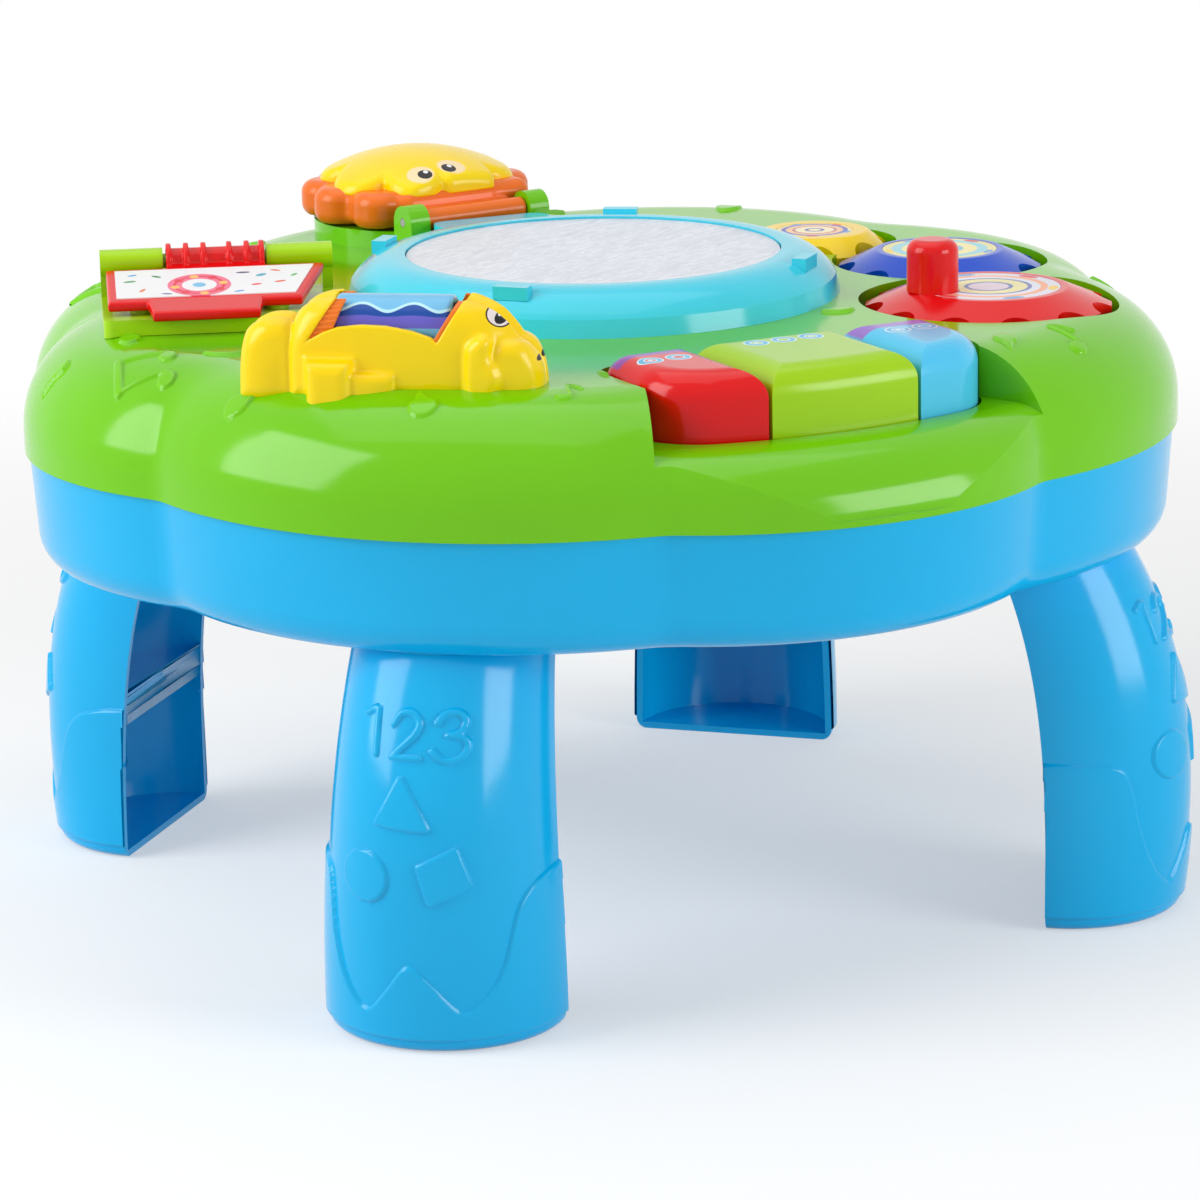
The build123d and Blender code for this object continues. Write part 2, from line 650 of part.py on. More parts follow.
with BuildPart() as inside_pan:
    # sockets of the legs, screw posts, board posts and the speaker's ring
    for corner_angle in LEG_ANGLES.values():
        with BuildSketch(Plane.XY.offset(BASE_Z)):
            add(socket_plan(corner_angle, FIT_GAP + SHELL_WALL))
        extrude(amount=PLUG_HEIGHT + FIT_GAP + SHELL_WALL)
    with BuildSketch(Plane.XY.offset(BASE_Z)):
        with Locations(*[around(POST_CIRCLE, a) for a in POST_ANGLES]):
            Circle(PAN_POST_R)
    extrude(amount=SEAM_Z - BASE_Z)
    with BuildSketch(Plane.XY.offset(BASE_Z)):
        with Locations(*board_corners):
            Circle(POST_R - SCREW_R)
    extrude(amount=SHELL_WALL + MAIN_BOARD_LIFT)
    with BuildSketch(Plane.XY.offset(BASE_Z)):
        with Locations(SPEAKER_AT):
            Circle(SPEAKER_R + FIT_GAP + SHELL_WALL)
            Circle(SPEAKER_R + FIT_GAP, mode=Mode.SUBTRACT)
    extrude(amount=2 * SHELL_WALL + SPEAKER_RIM)
    add(pan_outside, mode=Mode.INTERSECT)

with BuildPart() as base_shell:
    add(pan_outside)
    add(pan_hollow, mode=Mode.SUBTRACT)
    add(inside_pan.part)
    for corner_angle in LEG_ANGLES.values():
        with BuildSketch(Plane.XY.offset(BASE_Z)):
            add(socket_plan(corner_angle, FIT_GAP))
        extrude(amount=PLUG_HEIGHT + FIT_GAP, mode=Mode.SUBTRACT)
    with BuildSketch(Plane.XY.offset(BASE_Z)):
        with Locations(*[around(POST_CIRCLE, a) for a in POST_ANGLES]):
            Circle(SCREW_HEAD_R + FIT_GAP)
    extrude(amount=SCREW_SEAT_Z - BASE_Z, mode=Mode.SUBTRACT)
    with BuildSketch(Plane.XY.offset(BASE_Z)):
        with Locations(*[around(POST_CIRCLE, a) for a in POST_ANGLES]):
            Circle(SCREW_R + FIT_GAP)
    extrude(amount=CUT, mode=Mode.SUBTRACT)
    with Locations(*[(*corner, PAN_INSIDE_Z + MAIN_BOARD_LIFT) for corner in board_corners]):
        Hole(PILOT_R, depth=MAIN_BOARD_LIFT)
    # openings for the battery door, the sound and the switch
    with BuildSketch(Plane.XY.offset(BASE_Z)):
        with Locations((BATTERY_AT[0], BATTERY_AT[1] + DOOR_TAB / 2)):
            Rectangle(case_x + 2 * FIT_GAP, door_y + 2 * FIT_GAP)
        with Locations(SPEAKER_AT):
            Circle(GRILLE_HOLE_R)
            for grille_ring in (1, 2):
                with PolarLocations(grille_ring * GRILLE_PITCH, 6 * grille_ring):
                    Circle(GRILLE_HOLE_R)
        with Locations(SWITCH_AT):
            Rectangle(SWITCH_KNOB[0] + SWITCH_TRAVEL + 2 * RUN_GAP, SWITCH_KNOB[1] + 2 * RUN_GAP)
    extrude(amount=SHELL_WALL, mode=Mode.SUBTRACT)
save(base_shell, "base_shell")

# ======================================================================== drum


def ring_outline(inset=0.0):
    """Half section under the ring's outer surface, from the bore to the foot."""
    foot_r = RING_FOOT_R - inset
    shoulder = (foot_r - RING_LEAN, DECK_Z + RING_SHOULDER)
    crest = (RING_CREST_R, DRUM_TOP_Z + RING_RISE - inset)
    bow = ((shoulder[0] + crest[0]) / 2 + RING_SWELL, (shoulder[1] + crest[1]) / 2 + RING_SWELL)
    with BuildSketch() as outline:
        with BuildLine():
            Polyline((ring_bore_r, crest[1]), (ring_bore_r, DECK_Z), (foot_r, DECK_Z), shoulder)
            ThreePointArc(shoulder, bow, crest)
            Line(crest, (ring_bore_r, crest[1]))
        make_face()
    return outline.sketch


ring_bore_r = DRUM_R + RING_BORE_GAP
lip_under_z = DRUM_TOP_Z + RING_RISE - RING_LIP
flange_top_z = lip_under_z - REST_GAP
flange_z = flange_top_z - DRUM_THICK
flange_r = DRUM_R + DRUM_FLANGE
flange_room_r = flange_r + SLOT_GAP
tongue_plane = Plane.XY.offset(DECK_Z).rotated((0, 0, TONGUE_ANGLE - 90))
ring_screws = [around(RING_SCREW_CIRCLE, a) for a in LUG_ANGLES]

with BuildPart() as ring_block:
    with BuildSketch(Plane.XZ):
        add(ring_outline())
    revolve(axis=Axis.Z)

with BuildPart() as ring_bosses:
    with BuildSketch(Plane.XY.offset(DECK_Z)):
        with Locations(*ring_screws):
            Circle(RING_BOSS_R)
    extrude(amount=CUT)
    add(ring_block.part, mode=Mode.INTERSECT)

with BuildPart() as drum_ring:
    with BuildSketch(Plane.XZ):
        add(ring_outline())
        with BuildSketch(mode=Mode.SUBTRACT):
            add(ring_outline(RING_WALL))
            with Locations((flange_room_r + RING_WALL, DECK_Z)):
                Rectangle(CUT, CUT, align=(Align.MIN, Align.CENTER), mode=Mode.INTERSECT)
        with Locations((ring_bore_r, DECK_Z)):
            Rectangle(
                flange_room_r - ring_bore_r,
                lip_under_z - DECK_Z,
                align=(Align.MIN, Align.MIN),
                mode=Mode.SUBTRACT,
            )
    revolve(axis=Axis.Z)
    with BuildSketch(tongue_plane):
        with Locations(((TONGUE_ROOT + TONGUE_REACH) / 2, 0)):
            RectangleRounded(TONGUE_REACH - TONGUE_ROOT, TONGUE_WIDTH, RING_SHOULDER)
    extrude(amount=TONGUE_Z - DECK_Z)
    for lug_angle in LUG_ANGLES:
        lug_z = LUG_TOP_Z - LUG_SIZE[2] / 2
        with Locations(Location((*around(LUG_R, lug_angle), lug_z), (0, 0, lug_angle))):
            Box(*LUG_SIZE)
    add(ring_bosses.part)
    with Locations(*[(*point, DECK_Z) for point in ring_screws]):
        Cylinder(PILOT_R, 2 * (SCREW_BITE - RING_WALL), mode=Mode.SUBTRACT)
save(drum_ring, "drum_ring")

drum_dome_top = drum_board_z + BOARD_THICK + DOME_HEIGHT
with BuildPart() as drum_head:
    with BuildSketch(Plane.XZ):
        Polygon(
            (0, DRUM_TOP_Z - DRUM_THICK),
            (0, DRUM_TOP_Z),
            (DRUM_R, DRUM_TOP_Z),
            (DRUM_R, flange_top_z),
            (flange_r, flange_top_z),
            (flange_r, flange_z),
            (DRUM_R - DRUM_THICK, flange_z),
            (DRUM_R - DRUM_THICK, DRUM_TOP_Z - DRUM_THICK),
            align=None,
        )
    revolve(axis=Axis.Z)
    with BuildSketch(Plane.XY.offset(drum_dome_top + REST_GAP)):
        with PolarLocations(DRUM_DOME_CIRCLE, 4):
            Circle(DOME_R - DOME_WALL)
    extrude(amount=DRUM_TOP_Z - DRUM_THICK / 2 - drum_dome_top - REST_GAP)
save(drum_head, "drum_head")

with BuildPart() as drum_light_board:
    with BuildSketch(Plane.XY.offset(drum_board_z)):
        Circle(DRUM_BOARD_R)
        with PolarLocations(DRUM_DOME_CIRCLE, 4, start_angle=45):
            Circle(SCREW_R + FIT_GAP, mode=Mode.SUBTRACT)
    extrude(amount=BOARD_THICK)
    with BuildSketch(Plane.XY.offset(drum_board_z + BOARD_THICK)):
        with PolarLocations(DRUM_DOME_CIRCLE / 2, 8):
            Circle(LED_R)
    extrude(amount=LED_R)
save(drum_light_board, "drum_light_board")


def contact_dome():
    """Hollow rubber dome under a key or the drumhead, standing on its board."""
    upright_on = (Align.CENTER, Align.CENTER, Align.MIN)
    with BuildPart() as dome:
        Cone(DOME_R, DOME_R - DOME_WALL, DOME_HEIGHT, align=upright_on)
        Cone(
            DOME_R - DOME_WALL,
            DOME_R - 2 * DOME_WALL,
            DOME_HEIGHT - DOME_WALL,
            align=upright_on,
            mode=Mode.SUBTRACT,
        )
    return dome.part


with BuildPart() as drum_domes:
    with Locations((0, 0, drum_board_z + BOARD_THICK)):
        with PolarLocations(DRUM_DOME_CIRCLE, 4):
            add(contact_dome())
save(drum_domes, "drum_contact_domes")

# ======================================================================== piano keys


def key_block(left, right, inset):
    """One key as a block: its share of the keys' plan, with the top edges rounded."""
    with BuildPart() as block:
        with BuildSketch(Plane.XY.offset(KEY_BOTTOM_Z)):
            add(key_plan(-inset))
            with Locations(((left + right) / 2, KEY_REAR_Y)):
                Rectangle(right - left - 2 * inset, 2 * KEY_FRONT_R, mode=Mode.INTERSECT)
        extrude(amount=KEY_TOP_Z - inset - KEY_BOTTOM_Z)
        fillet(block.faces().sort_by(Axis.Z)[-1].edges(), KEY_ROUND - inset)
    return block.part


KEY_SPANS = {
    "red": (-KEY_HALF_SPAN - SLOT_GAP, -KEY_SPLIT - KEY_GAP / 2),
    "green": (-KEY_SPLIT + KEY_GAP / 2, KEY_SPLIT - KEY_GAP / 2),
    "blue": (KEY_SPLIT + KEY_GAP / 2, KEY_HALF_SPAN + SLOT_GAP),
}
key_dome_top = KEY_BOARD_Z + DOME_HEIGHT

for colour, (key_left, key_right) in KEY_SPANS.items():
    key_middle = (key_left + key_right) / 2
    with BuildPart() as key:
        add(key_block(key_left, key_right, 0))
        add(key_block(key_left, key_right, KEY_WALL), mode=Mode.SUBTRACT)
        with BuildSketch(Plane.YZ.offset(key_left + KEY_REAR_CORNER)):
            with Locations((KEY_AXLE_Y, KEY_AXLE_Z)):
                Circle(KEY_ARM_R)
            with Locations(((KEY_AXLE_Y + KEY_REAR_Y - KEY_WALL / 2) / 2, KEY_AXLE_Z)):
                Rectangle(KEY_AXLE_Y - KEY_REAR_Y + KEY_WALL / 2, 2 * KEY_ARM_R)
            with Locations((KEY_AXLE_Y, KEY_AXLE_Z)):
                Circle(KEY_AXLE_R + RUN_GAP, mode=Mode.SUBTRACT)
        extrude(amount=key_right - key_left - 2 * KEY_REAR_CORNER)
        with BuildSketch(Plane.XY.offset(key_dome_top + REST_GAP)):
            with Locations((key_middle, KEY_DOME_Y)):
                Circle(DOME_R - DOME_WALL)
        extrude(amount=KEY_TOP_Z - KEY_WALL / 2 - key_dome_top - REST_GAP)
    save(key, f"key_{colour}")

    with BuildPart() as key_dome:
        with Locations((key_middle, KEY_DOME_Y, KEY_BOARD_Z)):
            add(contact_dome())
    save(key_dome, f"key_{colour}_dome")

with BuildPart() as key_axle:
    with BuildSketch(Plane.YZ):
        with Locations((KEY_AXLE_Y, KEY_AXLE_Z)):
            Circle(KEY_AXLE_R)
    extrude(amount=key_axle_half, both=True)
save(key_axle, "key_axle")

with BuildPart() as key_board:
    with BuildSketch(Plane.XY.offset(KEY_BOARD_Z - BOARD_THICK)):
        with Locations((0, sum(BOARD_POST_Y) / 2)):
            board_depth = BOARD_POST_Y[1] - BOARD_POST_Y[0] + 2 * POST_R
            Rectangle(2 * (BOARD_POST_X + POST_R), board_depth)
        with Locations(*key_board_posts):
            Circle(SCREW_R + FIT_GAP, mode=Mode.SUBTRACT)
    extrude(amount=BOARD_THICK)
save(key_board, "key_board")

# ======================================================================== gears
gear_bottom_z = GEAR_FLOOR_Z + REST_GAP
stem_end_z = COLLAR_BOTTOM_Z - RUN_GAP
grip_point = beside((0, 0), GRIP_OFFSET, GRIP_ANGLE - NOTCH_ANGLES["red"])


def gear_wheel(colour):
    """Toy gear about the Z axis: a hollow cone with round notches and a stem for its screw."""
    rim, top = GEAR_RADII[colour], GEAR_TOP_RADII[colour]
    room = rim - NOTCH_DEPTH - GEAR_WALL
    ceiling_z = GEAR_TOP_Z - 2 * GEAR_WALL
    slope = (GEAR_TOP_Z - GEAR_SHOULDER_Z) / (rim - top)
    eaves_z = min(ceiling_z, GEAR_TOP_Z - slope * (room - top) - 1.4 * GEAR_WALL)
    with BuildPart() as wheel:
        with BuildSketch(Plane.XZ):
            Polygon(
                (0, GEAR_TOP_Z),
                (top, GEAR_TOP_Z),
                (rim, GEAR_SHOULDER_Z),
                (rim, gear_bottom_z),
                (room, gear_bottom_z),
                (room, eaves_z),
                (top - GEAR_WALL, ceiling_z),
                (STEM_R, ceiling_z),
                (STEM_R, stem_end_z),
                (0, stem_end_z),
                align=None,
            )
        revolve(axis=Axis.Z)
        fillet(wheel.edges().filter_by(GeomType.CIRCLE).group_by(Axis.Z)[-1], GEAR_TOP_ROUND)
        with Locations((0, 0, GEAR_TOP_Z)):
            with PolarLocations(rim - NOTCH_DEPTH + NOTCH_R, GEAR_TEETH[colour]):
                Cylinder(NOTCH_R, CUT, mode=Mode.SUBTRACT)
        with BuildSketch(Plane.XY.offset(GEAR_TOP_Z)):
            Circle(GEAR_LABEL_RADII[colour])
            if colour == "red":
                with Locations(grip_point):
                    Circle(GRIP_R + FIT_GAP, mode=Mode.SUBTRACT)
        extrude(amount=-LABEL_DEPTH, mode=Mode.SUBTRACT)
        with Locations((0, 0, stem_end_z)):
            Cylinder(PILOT_R, 2 * SCREW_BITE, mode=Mode.SUBTRACT)
        if colour == "red":
            with Locations((*grip_point, GEAR_TOP_Z)):
                Cylinder(GRIP_SPIGOT_R + FIT_GAP / 2, 2 * (GEAR_WALL + FIT_GAP), mode=Mode.SUBTRACT)
    return wheel.part


for colour, (gear_x, gear_y) in GEAR_AT.items():
    with BuildPart() as gear:
        with Locations(Location((gear_x, gear_y, 0), (0, 0, NOTCH_ANGLES[colour]))):
            add(gear_wheel(colour))
    save(gear, f"gear_{colour}")

    label_plane = turned((gear_x, gear_y), NOTCH_ANGLES[colour], GEAR_TOP_Z - LABEL_DEPTH)
    with BuildPart() as gear_label:
        with BuildSketch(label_plane):
            Circle(GEAR_LABEL_RADII[colour] - FIT_GAP / 2)
            if colour == "red":
                with Locations(grip_point):
                    Circle(GRIP_R + 1.5 * FIT_GAP, mode=Mode.SUBTRACT)
        extrude(amount=LABEL_DEPTH - LABEL_SUNK)
    save(gear_label, f"gear_{colour}_label")

    with BuildPart() as gear_screw:
        with Locations((gear_x, gear_y, stem_end_z)):
            Cylinder(COLLAR_R - FIT_GAP, SCREW_HEAD, align=(Align.CENTER, Align.CENTER, Align.MAX))
            Cylinder(SCREW_R, SCREW_BITE - 1, align=(Align.CENTER, Align.CENTER, Align.MIN))
    save(gear_screw, f"gear_{colour}_screw")

with BuildPart() as gear_handle:
    with BuildSketch(turned(GEAR_RED, NOTCH_ANGLES["red"], GEAR_TOP_Z)):
        with Locations(grip_point):
            Circle(GRIP_R)
    extrude(amount=GRIP_HEIGHT)
    fillet(gear_handle.faces().sort_by(Axis.Z)[-1].edges(), GRIP_ROUND)
    with BuildSketch(turned(GEAR_RED, NOTCH_ANGLES["red"], GEAR_TOP_Z)):
        with Locations(grip_point):
            Circle(GRIP_SPIGOT_R)
    extrude(amount=-GEAR_WALL)
save(gear_handle, "gear_handle")

# ======================================================================== elephant
roller_ends = (
    ROLLER_SHIFT - ROLLER_LENGTH / 2 - ROLLER_END_GAP,
    ROLLER_SHIFT + ROLLER_LENGTH / 2 + ROLLER_END_GAP,
)
slot_length = ROLLER_LENGTH + 2 * ROLLER_END_GAP
axle_half = slot_length / 2 + ELEPHANT_WALL + AXLE_PROUD


def elephant_block(inset):
    """Side profile of the elephant given its width, without the feet."""
    tail, nose = ELEPHANT_PROFILE[0][0], ELEPHANT_PROFILE[-1][0]
    with BuildPart() as block:
        with BuildSketch(upright(elephant_frame)):
            Polygon((tail, TOY_FLOOR_Z), *ELEPHANT_PROFILE, (nose, TOY_FLOOR_Z), align=None)
            upper = [v for v in vertices() if v.Z > TOY_FLOOR_Z + 1]
            fillet(upper, ELEPHANT_BEND)
            if inset:
                offset(amount=-inset)
        extrude(amount=ELEPHANT_HALF_WIDTH - inset, both=True)
    return block.part


with BuildPart() as elephant_room:
    add(elephant_block(ELEPHANT_WALL))
    with BuildSketch(elephant_frame.offset(TOY_FLOOR_Z)):
        for slot_end, way in zip(roller_ends, (-1, 1)):
            with Locations((slot_end + way * ELEPHANT_WALL / 2, 0)):
                Rectangle(ELEPHANT_WALL, CUT)
        with Locations(*[(place, 0) for place in ELEPHANT_SCREWS]):
            Circle(POST_R)
    extrude(amount=CUT, mode=Mode.SUBTRACT)

with BuildPart() as elephant_body:
    add(elephant_block(0))
    side_edges = [
        edge
        for edge in elephant_body.edges()
        if abs(elephant_frame.to_local_coords(edge.center()).Y) > ELEPHANT_HALF_WIDTH - 0.01
        and edge.center().Z > DECK_Z
    ]
    fillet(side_edges, ELEPHANT_SOFT)
    for place, length, foot_reach, foot_top_z in ELEPHANT_FEET:
        with BuildSketch(elephant_frame.offset(TOY_FLOOR_Z)):
            with Locations((place, 0)):
                RectangleRounded(length, 2 * foot_reach, FOOT_ROUND)
        extrude(amount=foot_top_z - TOY_FLOOR_Z)
    add(elephant_room.part, mode=Mode.SUBTRACT)
    with BuildSketch(end_on(elephant_frame, ROLLER_SHIFT)):
        with Locations((0, ROLLER_Z)):
            Circle(ROLLER_R + SLOT_GAP)
    extrude(amount=slot_length / 2, both=True, mode=Mode.SUBTRACT)
    with BuildSketch(elephant_frame.offset(ROLLER_RIM_Z)):
        with Locations((ROLLER_SHIFT, 0)):
            Rectangle(slot_length, CUT)
    extrude(amount=CUT, mode=Mode.SUBTRACT)
    with BuildSketch(end_on(elephant_frame, ROLLER_SHIFT)):
        with Locations((0, ROLLER_Z)):
            Circle(ROLLER_AXLE_R + FIT_GAP / 2)
    extrude(amount=axle_half + FIT_GAP, both=True, mode=Mode.SUBTRACT)
    add(crown_clear, mode=Mode.SUBTRACT)
    with Locations(*[(*point, DECK_Z) for point in elephant_screws]):
        Cylinder(PILOT_R, 2 * (SCREW_BITE - ELEPHANT_WALL), mode=Mode.SUBTRACT)
save(elephant_body, "elephant_body")

with BuildPart() as elephant_roller:
    with BuildSketch(end_on(elephant_frame, ROLLER_SHIFT)):
        with Locations((0, ROLLER_Z)):
            Circle(ROLLER_R)
            Circle(ROLLER_R - ROLLER_WALL, mode=Mode.SUBTRACT)
            Circle(ROLLER_HUB_R)
    extrude(amount=ROLLER_LENGTH / 2, both=True)
    with BuildSketch(end_on(elephant_frame, ROLLER_SHIFT)):
        with Locations((0, ROLLER_Z)):
            Circle(ROLLER_R - ROLLER_WALL / 2)
    extrude(amount=ROLLER_WALL, both=True)
    with BuildSketch(end_on(elephant_frame, ROLLER_SHIFT)):
        with Locations((0, ROLLER_Z)):
            Circle(ROLLER_AXLE_R + RUN_GAP)
    extrude(amount=ROLLER_LENGTH, both=True, mode=Mode.SUBTRACT)
save(elephant_roller, "elephant_roller")

with BuildPart() as roller_axle:
    with BuildSketch(end_on(elephant_frame, ROLLER_SHIFT)):
        with Locations((0, ROLLER_Z)):
            Circle(ROLLER_AXLE_R)
    extrude(amount=axle_half, both=True)
save(roller_axle, "elephant_roller_axle")

# ======================================================================== page-turning book
book_middle = (BOOK_LEFT + BOOK_RIGHT) / 2
book_depth_middle = (BOOK_FRONT + BOOK_BACK) / 2
rod_n = BOOK_BACK - BOOK_BAR / 2
rod_z = BOOK_TOP_Z - BOOK_BAR / 2


def book_bar(left, right):
    """Rounded square bar over the back of the book's base."""
    with BuildPart() as bar:
        with BuildSketch(end_on(book_plane, left)):
            with Locations((rod_n, rod_z)):
                RectangleRounded(BOOK_BAR, BOOK_BAR, BOOK_BAR_ROUND)
        extrude(amount=right - left)
    return bar.part


with BuildPart() as book_base:
    with BuildSketch(book_plane.offset(TOY_FLOOR_Z)):
        with Locations((book_middle, book_depth_middle)):
            RectangleRounded(BOOK_RIGHT - BOOK_LEFT, BOOK_BACK - BOOK_FRONT, BOOK_CORNER)
    extrude(amount=BOOK_BASE_Z - TOY_FLOOR_Z)
    with BuildSketch(book_plane.offset(TOY_FLOOR_Z)):
        with Locations((book_middle, book_depth_middle)):
            Rectangle(
                BOOK_RIGHT - BOOK_LEFT - 2 * BOOK_WALL,
                BOOK_BACK - BOOK_FRONT - 2 * BOOK_WALL,
            )
        with Locations(*BOOK_SCREWS):
            Circle(POST_R, mode=Mode.SUBTRACT)
    extrude(amount=BOOK_BASE_Z - BOOK_WALL - TOY_FLOOR_Z, mode=Mode.SUBTRACT)
    # upright cheeks at both ends, and the bars that they carry
    with BuildSketch(book_plane.offset(BOOK_BASE_Z - BOOK_WALL / 2)):
        with Locations((BOOK_LEFT + CHEEK / 2, rod_n), (BOOK_RIGHT - CHEEK / 2, rod_n)):
            Rectangle(CHEEK, BOOK_BAR - BOOK_BAR_ROUND)
    extrude(amount=rod_z - BOOK_BASE_Z)
    add(book_bar(BOOK_LEFT, BOOK_GAP_LEFT))
    add(book_bar(BOOK_GAP_RIGHT, BOOK_RIGHT))
    # rests that the closed page lies on
    with BuildSketch(book_plane.offset(BOOK_BASE_Z)):
        with Locations(*PAGE_STOPS):
            Circle(POST_R)
    extrude(amount=PAGE_BOTTOM_Z - REST_GAP - BOOK_BASE_Z)
    with BuildSketch(end_on(book_plane, BOOK_GAP_LEFT - ROD_SEAT - FIT_GAP)):
        with Locations((rod_n, rod_z)):
            Circle(BOOK_ROD_R + FIT_GAP / 2)
    rod_room = BOOK_GAP_RIGHT - BOOK_GAP_LEFT + 2 * (ROD_SEAT + FIT_GAP)
    extrude(amount=rod_room, mode=Mode.SUBTRACT)
    add(crown_clear, mode=Mode.SUBTRACT)
    with Locations(*[(*point, DECK_Z) for point in book_screws]):
        Cylinder(PILOT_R, 2 * (BOOK_BASE_Z - BOOK_WALL - DECK_Z), mode=Mode.SUBTRACT)
save(book_base, "book_base")

with BuildPart() as book_rod:
    with BuildSketch(end_on(book_plane, BOOK_GAP_LEFT - ROD_SEAT)):
        with Locations((rod_n, rod_z)):
            Circle(BOOK_ROD_R)
    extrude(amount=BOOK_GAP_RIGHT - BOOK_GAP_LEFT + 2 * ROD_SEAT)
save(book_rod, "book_rod")


def page_plan(margin):
    """The page without its tab; the right edge leans in towards the front."""
    with BuildSketch() as plan:
        Polygon(
            (PAGE_LEFT + margin, PAGE_FRONT + margin),
            (PAGE_RIGHT - PAGE_SLANT - margin, PAGE_FRONT + margin),
            (PAGE_RIGHT - margin, PAGE_REAR - margin),
            (PAGE_LEFT + margin, PAGE_REAR - margin),
            align=None,
        )
    return plan.sketch


page_top_z = PAGE_BOTTOM_Z + PAGE_THICK
neck_middle = (sum(PAGE_NECK) / 2, (PAGE_REAR + NECK_REACH) / 2 - PAGE_CORNER / 2)
with BuildPart() as book_page:
    with BuildSketch(book_plane.offset(PAGE_BOTTOM_Z)):
        add(page_plan(0))
        with Locations((PAGE_TAB_CENTRE, PAGE_FRONT - PAGE_TAB / 2)):
            Rectangle(PAGE_TAB_WIDTH, PAGE_TAB)
        fillet(vertices().group_by(Axis.Y)[0], PAGE_CORNER)
    extrude(amount=PAGE_THICK)
    with BuildSketch(book_plane.offset(PAGE_BOTTOM_Z)):
        with Locations(neck_middle):
            Rectangle(PAGE_NECK[1] - PAGE_NECK[0], NECK_REACH - PAGE_REAR + PAGE_CORNER)
    extrude(amount=PAGE_THICK)
    for fin_place in FIN_PLACES:
        with BuildSketch(end_on(book_plane, fin_place - FIN_THICK / 2)):
            with Locations((rod_n, rod_z)):
                Circle(FIN_R)
        extrude(amount=FIN_THICK)
    with BuildSketch(end_on(book_plane, BOOK_GAP_LEFT)):
        with Locations((rod_n, rod_z)):
            Circle(BOOK_ROD_R + RUN_GAP)
    extrude(amount=BOOK_GAP_RIGHT - BOOK_GAP_LEFT, mode=Mode.SUBTRACT)
    with BuildSketch(book_plane.offset(page_top_z)):
        add(page_plan(PAGE_LABEL_MARGIN))
    extrude(amount=-LABEL_DEPTH, mode=Mode.SUBTRACT)
save(book_page, "book_page")

with BuildPart() as page_label:
    with BuildSketch(book_plane.offset(page_top_z - LABEL_DEPTH)):
        add(page_plan(PAGE_LABEL_MARGIN + FIT_GAP / 2))
    extrude(amount=LABEL_DEPTH - LABEL_SUNK)
save(page_label, "book_page_label")

# ======================================================================== lion


def curled_plan(radius, curls, inset=0.0):
    """Disc with a ring of curls round it, like a cloud."""
    with BuildSketch() as plan:
        Circle(radius - inset)
        for turn in range(curls):
            angle = 360 * turn / curls
            with Locations(Location((*around(radius, angle), 0), (0, 0, angle + 90))):
                Circle(CURL_R - inset)
        fillet(plan.vertices(), CURL_SOFT + inset)
    return plan.sketch


def mane_plan(inset=0.0):
    """Plan of the mane, cut off straight behind the hinge."""
    with BuildSketch() as plan:
        add(curled_plan(MANE_R, MANE_CURLS, inset))
        with Locations((0, LION_FRONT_Y + inset)):
            Rectangle(2 * CUT, 2 * CUT, align=(Align.CENTER, Align.MIN), mode=Mode.INTERSECT)
    return plan.sketch


def face_block(inset):
    """The lion's face: a shallow dome that ends in a ring of curls."""
    rise = FACE_TOP_Z - FACE_RIM_Z
    ball_r = (FACE_REACH**2 + rise**2) / (2 * rise)
    with BuildPart() as block:
        with BuildSketch(lion_frame.offset(MANE_TOP_Z)):
            add(curled_plan(FACE_R, FACE_CURLS, inset))
        extrude(amount=FACE_TOP_Z - MANE_TOP_Z)
        with Locations(lion_frame.offset(FACE_TOP_Z - ball_r).location):
            Sphere(ball_r - inset, mode=Mode.INTERSECT)
    return block.part


mane_z = PEDESTAL_Z + REST_GAP
with BuildPart() as lion_mane:
    with BuildSketch(lion_frame.offset(mane_z)):
        add(mane_plan())
    extrude(amount=MANE_TOP_Z - mane_z)
    fillet(lion_mane.faces().sort_by(Axis.Z)[-1].edges(), MANE_ROUND)
    with BuildSketch(lion_frame.offset(mane_z)):
        add(mane_plan(LION_WALL))
    extrude(amount=MANE_TOP_Z - LION_WALL - mane_z, mode=Mode.SUBTRACT)
    with BuildSketch(end_on(lion_frame, 0)):
        with Locations((LION_HINGE_Y, LION_HINGE_Z)):
            Circle(LION_BAR_R)
        with Locations(((LION_HINGE_Y + LION_FRONT_Y + LION_WALL / 2) / 2, LION_HINGE_Z)):
            Rectangle(LION_FRONT_Y + LION_WALL / 2 - LION_HINGE_Y, 2 * LION_BAR_R)
        with Locations((LION_HINGE_Y, LION_HINGE_Z)):
            Circle(LION_PIN_R + RUN_GAP, mode=Mode.SUBTRACT)
    extrude(amount=LION_BAR_LENGTH / 2, both=True)
save(lion_mane, "lion_mane")

with BuildPart() as lion_face:
    add(face_block(0))
    add(face_block(LION_WALL), mode=Mode.SUBTRACT)
save(lion_face, "lion_face")

with BuildPart() as lion_ears:
    for ear_x in ear_places:
        with BuildSketch(end_on(lion_frame, ear_x, LION_HINGE_Y)):
            with Locations((0, LION_HINGE_Z)):
                Circle(LION_EAR_R)
            with Locations((0, (LION_HINGE_Z + DECK_Z) / 2)):
                Rectangle(2 * LION_EAR_R, LION_HINGE_Z - DECK_Z)
        extrude(amount=LION_EAR_WIDTH / 2, both=True)
    with BuildSketch(lion_frame.offset(DECK_UNDER_Z)):
        with Locations(*[(x, LION_HINGE_Y) for x in ear_places]):
            Circle(EAR_SPIGOT_R)
    extrude(amount=2 * SHELL_WALL)
    with BuildSketch(end_on(lion_frame, 0, LION_HINGE_Y)):
        with Locations((0, LION_HINGE_Z)):
            Circle(LION_PIN_R + FIT_GAP / 2)
    extrude(amount=lion_pin_half, both=True, mode=Mode.SUBTRACT)
